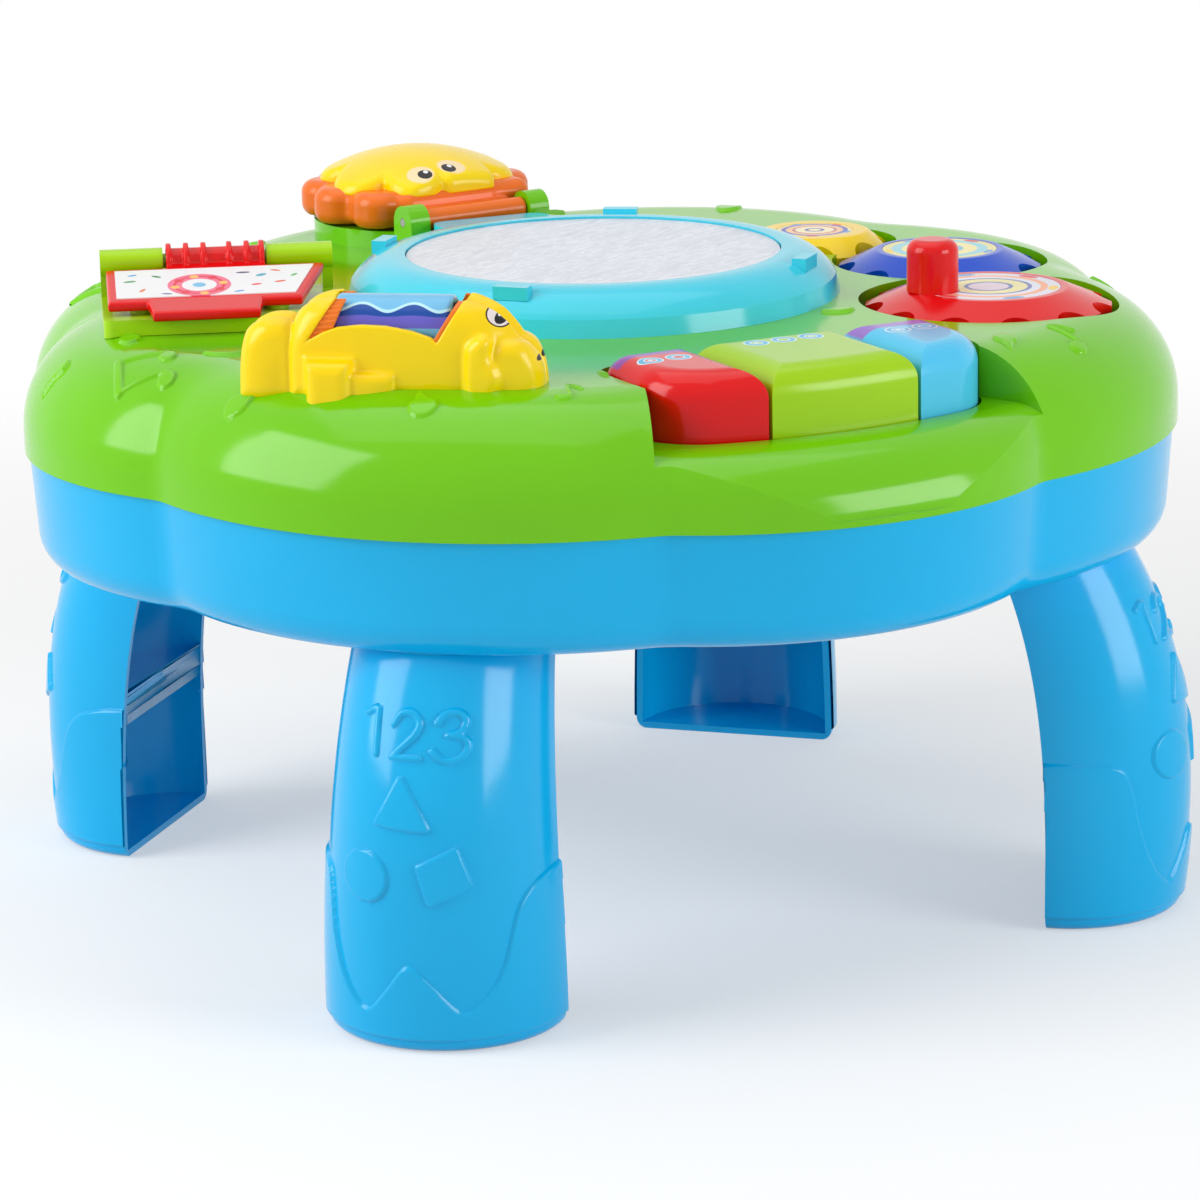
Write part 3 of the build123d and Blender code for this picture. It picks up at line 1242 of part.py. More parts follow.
save(lion_ears, "lion_ears")

with BuildPart() as lion_pin:
    with BuildSketch(end_on(lion_frame, 0)):
        with Locations((LION_HINGE_Y, LION_HINGE_Z)):
            Circle(LION_PIN_R)
    extrude(amount=lion_pin_half, both=True)
save(lion_pin, "lion_pin")

# ======================================================================== battery box
flange_centre = (BATTERY_AT[0], BATTERY_AT[1] + DOOR_TAB / 2)
case_top_z = PAN_INSIDE_Z + CASE_ROOM[2]
door_z = BASE_Z + DOOR_THICK
door_screw_at = (BATTERY_AT[0], BATTERY_AT[1] + case_y / 2 + DOOR_TAB / 2)
battery_z = door_z + REST_GAP + AA_R
battery_rows = [(BATTERY_AT[0] + n * AA_PITCH, BATTERY_AT[1]) for n in (-1, 0, 1)]

with BuildPart() as battery_case:
    with BuildSketch(Plane.XY.offset(PAN_INSIDE_Z)):
        with Locations(flange_centre):
            Rectangle(case_x + 2 * CASE_FLANGE, door_y + 2 * CASE_FLANGE)
    extrude(amount=CASE_WALL)
    with BuildSketch(Plane.XY.offset(PAN_INSIDE_Z)):
        with Locations(BATTERY_AT):
            Rectangle(case_x, case_y)
        with Locations(door_screw_at):
            Circle(POST_R)
    extrude(amount=SCREW_BITE)
    with BuildSketch(Plane.XY.offset(PAN_INSIDE_Z)):
        with Locations(BATTERY_AT):
            Rectangle(case_x, case_y)
    extrude(amount=CASE_ROOM[2] + CASE_WALL)
    with BuildSketch(Plane.XY.offset(PAN_INSIDE_Z)):
        with Locations(BATTERY_AT):
            Rectangle(CASE_ROOM[0], CASE_ROOM[1])
    extrude(amount=CASE_ROOM[2], mode=Mode.SUBTRACT)
    with Locations((*door_screw_at, PAN_INSIDE_Z)):
        Cylinder(PILOT_R, 2 * (SCREW_BITE - CASE_WALL), mode=Mode.SUBTRACT)
save(battery_case, "battery_case")

with BuildPart() as battery_door:
    with BuildSketch(Plane.XY.offset(BASE_Z)):
        with Locations(flange_centre):
            Rectangle(case_x, door_y)
        with Locations(door_screw_at):
            Circle(SCREW_R + FIT_GAP, mode=Mode.SUBTRACT)
    extrude(amount=DOOR_THICK)
    with Locations((*door_screw_at, BASE_Z)):
        Cylinder(SCREW_HEAD_R + FIT_GAP, 2 * DOOR_SCREW_HEAD, mode=Mode.SUBTRACT)
save(battery_door, "battery_door")

with BuildPart() as door_screw:
    with Locations((*door_screw_at, BASE_Z)):
        Cylinder(SCREW_HEAD_R, DOOR_SCREW_HEAD, align=(Align.CENTER, Align.CENTER, Align.MIN))
    with Locations((*door_screw_at, BASE_Z)):
        Cylinder(SCREW_R, SCREW_BITE - CASE_WALL, align=(Align.CENTER, Align.CENTER, Align.MIN))
save(door_screw, "battery_door_screw")

with BuildPart() as batteries:
    with BuildSketch(Plane.XZ.offset(-BATTERY_AT[1])):
        with Locations(*[(x, battery_z) for x, _ in battery_rows]):
            Circle(AA_R)
    extrude(amount=AA_LENGTH / 2, both=True)
save(batteries, "batteries")

with BuildPart() as battery_contacts:
    for side in (-1, 1):
        plate_y = BATTERY_AT[1] + side * (CASE_ROOM[1] - CONTACT_SIZE[1]) / 2
        with Locations((BATTERY_AT[0], plate_y, battery_z)):
            Box(*CONTACT_SIZE)
        nub_length = (CASE_ROOM[1] - AA_LENGTH) / 2
        nub_y = BATTERY_AT[1] + side * (AA_LENGTH + nub_length) / 2
        with BuildSketch(Plane.XZ.offset(-nub_y)):
            with Locations(*[(x, battery_z) for x, _ in battery_rows]):
                Circle(CONTACT_NUB_R)
        extrude(amount=nub_length / 2, both=True)
save(battery_contacts, "battery_contacts")

# ======================================================================== speaker, board, switch
speaker_top_z = PAN_INSIDE_Z + SPEAKER_HEIGHT
with BuildPart() as speaker:
    with BuildSketch(Plane.XZ):
        Polygon(
            (0, PAN_INSIDE_Z),
            (SPEAKER_R, PAN_INSIDE_Z),
            (SPEAKER_R, PAN_INSIDE_Z + SPEAKER_RIM),
            (SPEAKER_R - SPEAKER_RIM, PAN_INSIDE_Z + SPEAKER_RIM),
            (MAGNET_R, speaker_top_z - MAGNET_HEIGHT),
            (MAGNET_R, speaker_top_z),
            (0, speaker_top_z),
            align=None,
        )
    revolve(axis=Axis.Z)
speaker.part = Pos(*SPEAKER_AT, 0) * speaker.part
save(speaker, "speaker")

main_board_z = PAN_INSIDE_Z + MAIN_BOARD_LIFT
with BuildPart() as main_board:
    with BuildSketch(Plane.XY.offset(main_board_z)):
        with Locations(MAIN_BOARD_AT):
            Rectangle(*MAIN_BOARD_SIZE)
        with Locations(*board_corners):
            Circle(SCREW_R + FIT_GAP, mode=Mode.SUBTRACT)
    extrude(amount=BOARD_THICK)
    with Locations((*MAIN_BOARD_AT, main_board_z + BOARD_THICK)):
        Box(*CHIP_SIZE, align=(Align.CENTER, Align.CENTER, Align.MIN))
        with Locations((CHIP_SIZE[0], 0, 0)):
            Cylinder(CAN_R, CAN_HEIGHT, align=(Align.CENTER, Align.CENTER, Align.MIN))
save(main_board, "main_board")

knob_x = SWITCH_AT[0] - SWITCH_TRAVEL / 2
plate_z = PAN_INSIDE_Z + REST_GAP
with BuildPart() as switch_knob:
    with BuildSketch(Plane.XY.offset(BASE_Z - SWITCH_PROUD)):
        with Locations((knob_x, SWITCH_AT[1])):
            Rectangle(*SWITCH_KNOB)
    extrude(amount=plate_z + SWITCH_PLATE[2] - BASE_Z + SWITCH_PROUD)
    with Locations((knob_x, SWITCH_AT[1], plate_z)):
        Box(*SWITCH_PLATE, align=(Align.CENTER, Align.CENTER, Align.MIN))
save(switch_knob, "power_switch_knob")

with BuildPart() as switch_body:
    body_z = plate_z + SWITCH_PLATE[2] + REST_GAP
    with Locations((*SWITCH_AT, body_z)):
        Box(*SWITCH_BODY, align=(Align.CENTER, Align.CENTER, Align.MIN))
    foot_x = (SWITCH_BODY[0] - SWITCH_FOOT) / 2
    with BuildSketch(Plane.XY.offset(PAN_INSIDE_Z)):
        with Locations((SWITCH_AT[0] - foot_x, SWITCH_AT[1]), (SWITCH_AT[0] + foot_x, SWITCH_AT[1])):
            Rectangle(SWITCH_FOOT, SWITCH_BODY[1])
    extrude(amount=body_z - PAN_INSIDE_Z)
save(switch_body, "power_switch_body")

# ======================================================================== screws


def screw_set(points, seat_z, length, up=True):
    """Screws driven from one side: a round head against the seat and a plain shank."""
    head_side, shank_side = (Align.MAX, Align.MIN) if up else (Align.MIN, Align.MAX)
    with BuildPart() as screws:
        with Locations(*[(*point, seat_z) for point in points]):
            Cylinder(SCREW_HEAD_R, SCREW_HEAD, align=(Align.CENTER, Align.CENTER, head_side))
            Cylinder(SCREW_R, length, align=(Align.CENTER, Align.CENTER, shank_side))
    return screws


shell_screw_length = SEAM_Z - SCREW_SEAT_Z + SCREW_BITE - 1
save(
    screw_set([around(POST_CIRCLE, a) for a in POST_ANGLES], SCREW_SEAT_Z, shell_screw_length),
    "shell_screws",
)
ring_screw_length = DECK_Z - DECK_UNDER_Z + SCREW_BITE - RING_WALL - 1
save(screw_set(ring_screws, DECK_UNDER_Z, ring_screw_length), "drum_ring_screws")
save(screw_set(elephant_screws, TOY_SEAT_Z, SCREW_BITE), "elephant_screws")
save(screw_set(book_screws, TOY_SEAT_Z, BOOK_BASE_Z - BOOK_WALL - TOY_SEAT_Z - 1), "book_screws")
drum_board_screws = [
    (x * DRUM_DOME_CIRCLE / sqrt(2), y * DRUM_DOME_CIRCLE / sqrt(2)) for x in (-1, 1) for y in (-1, 1)
]
board_screws = screw_set(board_corners, main_board_z + BOARD_THICK, MAIN_BOARD_LIFT, up=False)
board_screws.part += screw_set(key_board_posts, KEY_BOARD_Z - BOARD_THICK, SCREW_BITE - 1).part
board_screws.part += screw_set(
    drum_board_screws, drum_board_z + BOARD_THICK, BOARD_LIFT + BOARD_THICK - FIT_GAP, up=False
).part
save(board_screws, "board_screws")
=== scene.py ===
"""Musical activity table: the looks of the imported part, in Blender 4.5.

Shapes and prints are written in millimetres. The camera, the floor and the lamps are in metres.
"""
import math

import bmesh
import bpy
import numpy as np
from mathutils import Matrix, Vector
from mathutils.bvhtree import BVHTree


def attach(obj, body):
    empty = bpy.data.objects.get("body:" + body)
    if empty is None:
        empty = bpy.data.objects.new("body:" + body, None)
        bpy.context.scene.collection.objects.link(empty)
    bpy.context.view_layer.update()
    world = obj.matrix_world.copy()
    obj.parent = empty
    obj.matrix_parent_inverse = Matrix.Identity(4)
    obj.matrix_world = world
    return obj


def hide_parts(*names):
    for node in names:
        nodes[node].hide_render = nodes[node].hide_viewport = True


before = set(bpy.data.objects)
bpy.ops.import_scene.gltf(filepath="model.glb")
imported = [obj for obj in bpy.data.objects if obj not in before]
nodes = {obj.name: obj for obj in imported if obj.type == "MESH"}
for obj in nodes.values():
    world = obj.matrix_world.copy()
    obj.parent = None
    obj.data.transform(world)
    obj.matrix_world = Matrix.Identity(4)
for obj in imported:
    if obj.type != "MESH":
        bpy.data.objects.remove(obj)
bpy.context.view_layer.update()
scene = bpy.context.scene

MM = 0.001


# ---------------------------------------------------------------- shader arithmetic
def linear(red, green, blue):
    """Screen colour, 0 to 255, as the linear colour that a shader takes."""
    out = []
    for value in (red, green, blue):
        share = value / 255
        out.append(share / 12.92 if share <= 0.04045 else ((share + 0.055) / 1.055) ** 2.4)
    return (*out, 1.0)


class Term:
    """A number in a node tree, which takes plain arithmetic."""

    def __init__(self, tree, socket):
        self.tree = tree
        self.socket = socket

    def math(self, kind, *others):
        node = self.tree.nodes.new("ShaderNodeMath")
        node.operation = kind
        self.tree.links.new(self.socket, node.inputs[0])
        for number, other in enumerate(others, 1):
            if isinstance(other, Term):
                self.tree.links.new(other.socket, node.inputs[number])
            else:
                node.inputs[number].default_value = other
        return Term(self.tree, node.outputs[0])

    def __add__(self, other):
        return self.math("ADD", other)

    def __sub__(self, other):
        return self.math("SUBTRACT", other)

    def __rsub__(self, other):
        return self.math("MULTIPLY", -1).math("ADD", other)

    def __mul__(self, other):
        return self.math("MULTIPLY", other)

    def __truediv__(self, other):
        return self.math("DIVIDE", other)

    def __abs__(self):
        return self.math("ABSOLUTE")

    def most(self, other):
        return self.math("MAXIMUM", other)

    def sine(self):
        return self.math("SINE")

    def within(self, blur=0.12):
        """1 where the distance is negative, 0 where it is positive, with a soft edge."""
        node = self.tree.nodes.new("ShaderNodeMapRange")
        node.interpolation_type = "SMOOTHSTEP"
        node.inputs["From Min"].default_value = blur
        node.inputs["From Max"].default_value = -blur
        self.tree.links.new(self.socket, node.inputs["Value"])
        return Term(self.tree, node.outputs["Result"])


def reach(x, y, across=0.0, up=0.0):
    """Distance in a plane from a place."""
    dx, dy = x - across, y - up
    return (dx * dx + dy * dy).math("SQRT")


def oval(x, y, place, half, lean=0.0):
    """Rough distance to an ellipse: place, half widths and lean in degrees."""
    c, s = math.cos(math.radians(lean)), math.sin(math.radians(lean))
    dx, dy = x - place[0], y - place[1]
    along, over = (dx * c + dy * s) / half[0], (dy * c - dx * s) / half[1]
    return ((along * along + over * over).math("SQRT") - 1) * min(half)


def noise(tree, source, scale, detail=2.0):
    """Noise texture over the places that a socket gives."""
    node = tree.nodes.new("ShaderNodeTexNoise")
    node.inputs["Scale"].default_value = scale
    node.inputs["Detail"].default_value = detail
    tree.links.new(source, node.inputs["Vector"])
    return node


def seen_directly(tree):
    """1 for rays from the camera, also by way of a mirror or glass, and 0 for light."""
    path = tree.nodes.new("ShaderNodeLightPath")
    seen = Term(tree, path.outputs["Is Camera Ray"])
    for kind in ("Is Glossy Ray", "Is Transmission Ray"):
        seen = seen.most(Term(tree, path.outputs[kind]))
    return seen


def blended(tree, share, first, second, output):
    """Sends the first shader to the output node, or the second where the share is 1."""
    both = tree.nodes.new("ShaderNodeMixShader")
    tree.links.new(share.socket, both.inputs["Fac"])
    tree.links.new(first, both.inputs[1])
    tree.links.new(second, both.inputs[2])
    tree.links.new(both.outputs[0], tree.nodes[output].inputs["Surface"])


FLOW_SCALE, POLISH_SCALE, SKIN_SCALE = 14, 45, 900  # noise cells to a metre
SKIN_DEPTH = 0.0002  # metres
COAT_ROUGH = 0.06


def plastic(name, colour, rough=0.2, tint=0.03, grain=0.02, clear=0.05, shine=0.28):
    """Glossy moulded plastic: faint flow marks in the colour, uneven polish and a fine skin."""
    mat = bpy.data.materials.new(name)
    mat.use_nodes = True
    tree = mat.node_tree
    shader = tree.nodes["Principled BSDF"]
    place = tree.nodes.new("ShaderNodeTexCoord").outputs["Object"]
    flow = noise(tree, place, FLOW_SCALE, 3)
    shades = tree.nodes.new("ShaderNodeValToRGB")
    base = linear(*colour)[:3]
    for stop, position, share in zip(shades.color_ramp.elements, (0.3, 0.7), (1 - tint, 1 + tint)):
        stop.position = position
        stop.color = (*[min(1, c * share) for c in base], 1)
    tree.links.new(flow.outputs["Fac"], shades.inputs["Fac"])
    tree.links.new(shades.outputs["Color"], shader.inputs["Base Color"])
    polish = noise(tree, place, POLISH_SCALE, 4)
    spread = tree.nodes.new("ShaderNodeMapRange")
    spread.inputs["To Min"].default_value = rough * 0.8
    spread.inputs["To Max"].default_value = rough * 1.25
    tree.links.new(polish.outputs["Fac"], spread.inputs["Value"])
    tree.links.new(spread.outputs["Result"], shader.inputs["Roughness"])
    skin = noise(tree, place, SKIN_SCALE)
    bump = tree.nodes.new("ShaderNodeBump")
    bump.inputs["Strength"].default_value = grain
    bump.inputs["Distance"].default_value = SKIN_DEPTH
    tree.links.new(skin.outputs["Fac"], bump.inputs["Height"])
    tree.links.new(bump.outputs["Normal"], shader.inputs["Normal"])
    shader.inputs["Coat Weight"].default_value = clear
    shader.inputs["Coat Roughness"].default_value = COAT_ROUGH
    shader.inputs["Specular IOR Level"].default_value = shine
    return mat


def places(mat, origin=(0, 0, 0), turn=0.0):
    """The material's x, y and z in millimetres from an origin, x turned by an angle in degrees."""
    tree = mat.node_tree
    coords = tree.nodes.new("ShaderNodeTexCoord")
    shift = tree.nodes.new("ShaderNodeVectorMath")
    shift.operation = "SUBTRACT"
    shift.inputs[1].default_value = [value * MM for value in origin]
    tree.links.new(coords.outputs["Object"], shift.inputs[0])
    spin = tree.nodes.new("ShaderNodeVectorRotate")
    spin.rotation_type = "Z_AXIS"
    spin.inputs["Angle"].default_value = -math.radians(turn)
    tree.links.new(shift.outputs[0], spin.inputs["Vector"])
    parts = tree.nodes.new("ShaderNodeSeparateXYZ")
    tree.links.new(spin.outputs[0], parts.inputs[0])
    return [Term(tree, parts.outputs[axis]) * (1 / MM) for axis in range(3)]


def paint(mat, mask, colour):
    """Lays a printed colour over what the material's shader shows so far."""
    tree = mat.node_tree
    shader = tree.nodes["Principled BSDF"]
    under = shader.inputs["Base Color"].links[0].from_socket
    layer = tree.nodes.new("ShaderNodeMix")
    layer.data_type = "RGBA"
    tree.links.new(mask.socket, layer.inputs["Factor"])
    tree.links.new(under, layer.inputs["A"])
    layer.inputs["B"].default_value = linear(*colour)
    tree.links.new(layer.outputs["Result"], shader.inputs["Base Color"])


# ---------------------------------------------------------------- mesh building, in millimetres
def mesh_piece(name, points, faces, material, body, smooth=True):
    """Piece of the given points and faces that rides on a body."""
    mesh = bpy.data.meshes.new(name)
    mesh.from_pydata((np.asarray(points) * MM).tolist(), [], np.asarray(faces).tolist())
    mesh.polygons.foreach_set("use_smooth", [smooth] * len(mesh.polygons))
    mesh.materials.append(material)
    mesh.update()
    piece = bpy.data.objects.new(name, mesh)
    scene.collection.objects.link(piece)
    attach(piece, body)
    return piece


CURVE_STEPS = 6  # between two points of a curve


def curve_through(points):
    """Smooth open line through the points (Catmull-Rom)."""
    points = np.asarray(points, float)
    last = len(points) - 1
    out = []
    for number in range(last):
        near = [points[min(max(number + shift, 0), last)] for shift in (-1, 0, 1, 2)]
        for step in range(CURVE_STEPS):
            t = step / CURVE_STEPS
            out.append(0.5 * (2 * near[1] + (near[2] - near[0]) * t
                              + (2 * near[0] - 5 * near[1] + 4 * near[2] - near[3]) * t**2
                              + (3 * near[1] - near[0] - 3 * near[2] + near[3]) * t**3))
    return np.array([*out, points[-1]])


def to_line(points, x, y, closed=False):
    """Distance in a plane to a line of points."""
    points = np.asarray(points, float)
    ends = np.roll(points, -1, axis=0)
    if not closed:
        points, ends = points[:-1], ends[:-1]
    best = np.full(np.broadcast(x, y).shape, 1e9)
    for a, b in zip(points, ends):
        edge = b - a
        share = np.clip(((x - a[0]) * edge[0] + (y - a[1]) * edge[1]) / max(edge @ edge, 1e-9), 0, 1)
        best = np.minimum(best, np.hypot(x - a[0] - share * edge[0], y - a[1] - share * edge[1]))
    return best


def to_outline(points, x, y):
    """Signed distance in a plane to a closed outline, negative inside."""
    points = np.asarray(points, float)
    inside = np.zeros(np.broadcast(x, y).shape, bool)
    for a, b in zip(points, np.roll(points, -1, axis=0)):
        crosses = (a[1] > y) != (b[1] > y)
        rise = b[1] - a[1] if abs(b[1] - a[1]) > 1e-9 else 1e-9
        inside ^= crosses & (x < a[0] + (y - a[1]) * (b[0] - a[0]) / rise)
    far = to_line(points, x, y, closed=True)
    return np.where(inside, -far, far)


def overlap(*fields):
    """Signed distance to what several shapes share."""
    whole = fields[0]
    for field in fields[1:]:
        whole = np.maximum(whole, field)
    return whole


def rounded(first, second, bend):
    """Where two signed distances overlap, with the edge between them rounded."""
    one, two = first + bend, second + bend
    return np.hypot(np.maximum(one, 0), np.maximum(two, 0)) + np.minimum(np.maximum(one, two), 0) - bend


def melted(first, second, bend):
    """Two signed distances joined, with a soft valley between them."""
    near = np.maximum(bend - np.abs(first - second), 0) / bend
    return np.minimum(first, second) - near * near * bend / 4


def skin_of(field, low, high, pitch):
    """Closed mesh where a field is zero: one point in each grid cell that the surface crosses."""
    ticks = [np.arange(low[axis], high[axis] + pitch, pitch) for axis in range(3)]
    grid = np.meshgrid(*ticks, indexing="ij", sparse=True)
    values = np.broadcast_to(field(*grid), [len(t) for t in ticks]).copy()
    size = np.array(values.shape)
    cells = size - 1
    total = np.zeros((*cells, 3))
    count = np.zeros(cells)
    crossings = []
    for axis in range(3):
        start = [slice(None)] * 3
        stop = [slice(None)] * 3
        start[axis], stop[axis] = slice(0, -1), slice(1, None)
        a, b = values[tuple(start)], values[tuple(stop)]
        cross = (a < 0) != (b < 0)
        share = np.where(cross, a / np.where(cross, a - b, 1), 0)
        crossings.append((cross, a < 0))
        others = [other for other in range(3) if other != axis]
        for first in (0, 1):
            for second in (0, 1):
                cut = [slice(None)] * 3
                cut[others[0]] = slice(first, first + cells[others[0]])
                cut[others[1]] = slice(second, second + cells[others[1]])
                here = cross[tuple(cut)]
                count += here
                total[..., axis] += np.where(here, share[tuple(cut)], 0)
                total[..., others[0]] += here * first
                total[..., others[1]] += here * second
    active = count > 0
    number = np.full(cells, -1)
    number[active] = np.arange(active.sum())
    index = np.argwhere(active)
    points = (index + total[active] / count[active][:, None]) * pitch + np.array(low, float)
    faces = []
    for axis in range(3):
        cross, inward = crossings[axis]
        others = [other for other in range(3) if other != axis]
        where = np.argwhere(cross)
        inside = inward[tuple(where.T)]
        keep = np.ones(len(where), bool)
        for other in others:
            keep &= (where[:, other] > 0) & (where[:, other] < size[other] - 1)
        where, inside = where[keep], inside[keep]
        corners = []
        for first, second in ((1, 1), (0, 1), (0, 0), (1, 0)):
            cell = where.copy()
            cell[:, others[0]] -= first
            cell[:, others[1]] -= second
            corners.append(number[tuple(cell.T)])
        quad = np.stack(corners, axis=1)
        flip = inside if axis != 1 else ~inside
        quad = np.where(flip[:, None], quad, quad[:, ::-1])
        faces.append(quad)
    return points, np.concatenate(faces)


def settle(points, field, pitch):
    """Moves points of a mesh on to the surface where the field is zero."""
    tried, farthest = pitch * 0.2, pitch * 0.4
    for _ in range(2):
        here = field(*points.T)
        slope = np.stack([(field(*(points + step).T) - here) / tried
                          for step in np.eye(3) * tried], axis=1)
        steepness = np.maximum((slope**2).sum(axis=1), 0.25)
        move = -slope * (here / steepness)[:, None]
        points = points + np.clip(move, -farthest, farthest)
    return points


def turned(points, origin, angle):
    """Points turned about Z by an angle in degrees, then moved to an origin."""
    c, s = math.cos(math.radians(angle)), math.sin(math.radians(angle))
    points = np.asarray(points, float)
    out = points.copy()
    out[:, 0] = points[:, 0] * c - points[:, 1] * s + origin[0]
    out[:, 1] = points[:, 0] * s + points[:, 1] * c + origin[1]
    return out


def shaped(name, field, low, high, pitch, origin, angle, material, body):
    """Piece whose surface is where a field of the local x, y and z is zero."""
    points, faces = skin_of(field, low, high, pitch)
    points = settle(points, field, pitch)
    return mesh_piece(name, turned(points, origin, angle), faces, material, body)


def probe(node):
    """Search tree of a node's faces, in metres."""
    mesh = nodes[node].data
    points = [vertex.co.copy() for vertex in mesh.vertices]
    return BVHTree.FromPolygons(points, [tuple(face.vertices) for face in mesh.polygons])


FAR_OFF = 99.0  # distance given to a ray that meets nothing
RIM_CELLS = 1.6  # a relief's skin goes on this many cells outside its shape


def relief(name, tree, rays, field, material, body, lift, soft, sink=0.25):
    """Raised skin on a CAD surface. rays is a grid of (start, direction) in millimetres and field
    gives the signed distance to the raised shape at the places that the rays meet. The skin rises
    by lift over a slope of width soft, and around the shape it lies at the depth sink."""
    rows, columns = len(rays), len(rays[0])
    hits = np.full((rows, columns, 3), np.nan)
    normals = np.zeros((rows, columns, 3))
    for i, row in enumerate(rays):
        for j, (start, direction) in enumerate(row):
            place, normal, _, _ = tree.ray_cast(Vector(start) * MM, Vector(direction))
            if place is not None:
                hits[i, j] = np.array(place) / MM
                normals[i, j] = normal if normal.dot(Vector(direction)) < 0 else -normal
    met = ~np.isnan(hits[..., 0])
    for _ in range(2):
        spread = np.pad(normals, ((1, 1), (1, 1), (0, 0)), mode="edge")
        near = sum(spread[di:di + rows, dj:dj + columns] for di in range(3) for dj in range(3))
        normals = near / np.maximum(np.linalg.norm(near, axis=2, keepdims=True), 1e-9)
    distance = np.where(met, field(np.where(met[..., None], hits, 0)), FAR_OFF)
    share = np.clip(-distance / soft, 0, 1)
    share = share * share * (3 - 2 * share)
    height = share * (lift + sink) - sink
    points = hits + normals * height[..., None]
    edge = np.linalg.norm(np.array(rays[0][0][0]) - np.array(rays[0][1][0]))
    used = distance < edge * RIM_CELLS
    keep = met[:-1, :-1] & met[1:, :-1] & met[:-1, 1:] & met[1:, 1:]
    keep &= used[:-1, :-1] | used[1:, :-1] | used[:-1, 1:] | used[1:, 1:]
    number = np.arange(rows * columns).reshape(rows, columns)
    quads = np.stack([number[:-1, :-1], number[1:, :-1], number[1:, 1:], number[:-1, 1:]], axis=-1)
    quads = quads[keep]
    flat = points.reshape(-1, 3)
    a, b, c = (flat[quads[:, k]] for k in (0, 1, 2))
    outward = np.einsum("ij,ij->i", np.cross(b - a, c - a), normals.reshape(-1, 3)[quads[:, 0]])
    quads = np.where(outward[:, None] > 0, quads, quads[:, ::-1])
    live, quads = np.unique(quads, return_inverse=True)
    return mesh_piece(name, flat[live], quads.reshape(-1, 4), material, body)


# ---------------------------------------------------------------- materials of the nodes
GREEN = plastic("grass_green_plastic", (112, 196, 2), 0.13)
# the raised deck shapes are the deck's own green, made a touch lighter here: painted light that stands in
# for their edge highlights
GREEN_RELIEF_LIT = plastic("grass_green_relief_lit", (116, 200, 4), 0.13)
BLUE = plastic("sky_blue_plastic", (6, 176, 232), 0.16)
TURQUOISE = plastic("turquoise_plastic", (64, 206, 230), 0.14)
LIME = plastic("lime_plastic", (166, 214, 6), 0.22)
KEY_LIME = plastic("lime_key_plastic", (160, 208, 6), 0.2)
RED = plastic("red_plastic", (226, 4, 8), 0.16)
KEY_RED = plastic("red_key_plastic", (226, 4, 8), 0.14)
GEAR_RED = plastic("red_gear_plastic", (226, 8, 14), 0.18)
GEAR_BLUE = plastic("deep_blue_plastic", (10, 76, 204), 0.18)
GEAR_YELLOW = plastic("yellow_gear_plastic", (252, 212, 0), 0.2)
KEY_BLUE = plastic("light_blue_plastic", (78, 196, 240), 0.18)
ANIMAL = plastic("animal_yellow_plastic", (252, 214, 0), 0.2)
FACE = plastic("face_yellow_plastic", (252, 216, 0), 0.22)
ORANGE = plastic("orange_plastic", (240, 112, 28), 0.24)
STRIP = plastic("orange_strip", (236, 122, 34), 0.3)
ROLLER = plastic("printed_roller", (112, 188, 230), 0.2)
PEARL = plastic("pearl_white_plastic", (212, 216, 226), 0.32, shine=0.3)
BLACK = plastic("matt_black_plastic", (18, 18, 20), 0.45, 0.1)
BOARD = plastic("circuit_board", (12, 84, 40), 0.4, 0.15)
RUBBER = plastic("grey_silicone", (186, 190, 194), 0.55, 0.04, clear=0)
CELL = plastic("cell_can", (60, 66, 74), 0.3, 0.1)
STEEL = plastic("zinc_steel", (190, 190, 194), 0.3, 0.06, clear=0, shine=0.5)
STEEL.node_tree.nodes["Principled BSDF"].inputs["Metallic"].default_value = 1
PAGE_PRINT = plastic("page_label_print", (240, 240, 242), 0.3)
RED_LABEL = plastic("red_gear_label_print", (226, 224, 236), 0.3)
BLUE_LABEL = plastic("blue_gear_label_print", (236, 226, 150), 0.3)
YELLOW_LABEL = plastic("yellow_gear_label_print", (246, 222, 150), 0.3)

NODE_MATERIALS = {
    "top_shell": GREEN, "lion_ears": GREEN, "base_shell": BLUE,
    "leg_front_left": BLUE, "leg_front_right": BLUE, "leg_rear_left": BLUE, "leg_rear_right": BLUE,
    "drum_ring": TURQUOISE, "drum_head": PEARL, "drum_light_board": BOARD,
    "drum_contact_domes": RUBBER, "drum_ring_screws": STEEL,
    "key_red": KEY_RED, "key_green": KEY_LIME, "key_blue": KEY_BLUE, "key_axle": STEEL,
    "key_board": BOARD, "key_red_dome": RUBBER, "key_green_dome": RUBBER, "key_blue_dome": RUBBER,
    "gear_red": GEAR_RED, "gear_blue": GEAR_BLUE, "gear_yellow": GEAR_YELLOW, "gear_handle": RED,
    "gear_red_label": RED_LABEL, "gear_blue_label": BLUE_LABEL, "gear_yellow_label": YELLOW_LABEL,
    "gear_red_screw": STEEL, "gear_blue_screw": STEEL, "gear_yellow_screw": STEEL,
    "elephant_body": ANIMAL, "elephant_roller": ROLLER, "elephant_roller_axle": STEEL,
    "elephant_screws": STEEL, "book_base": LIME, "book_rod": LIME, "book_screws": STEEL,
    "book_page": RED, "book_page_label": PAGE_PRINT, "lion_mane": ORANGE, "lion_face": FACE,
    "lion_pin": STEEL, "main_board": BOARD, "board_screws": STEEL, "speaker": BLACK,
    "battery_case": BLUE, "batteries": CELL, "battery_contacts": STEEL, "battery_door": BLUE,
    "battery_door_screw": STEEL, "power_switch_knob": BLACK, "power_switch_body": BLACK,
    "shell_screws": STEEL,
}
for name, node in nodes.items():
    node.data.materials.clear()
    node.data.materials.append(NODE_MATERIALS[name])

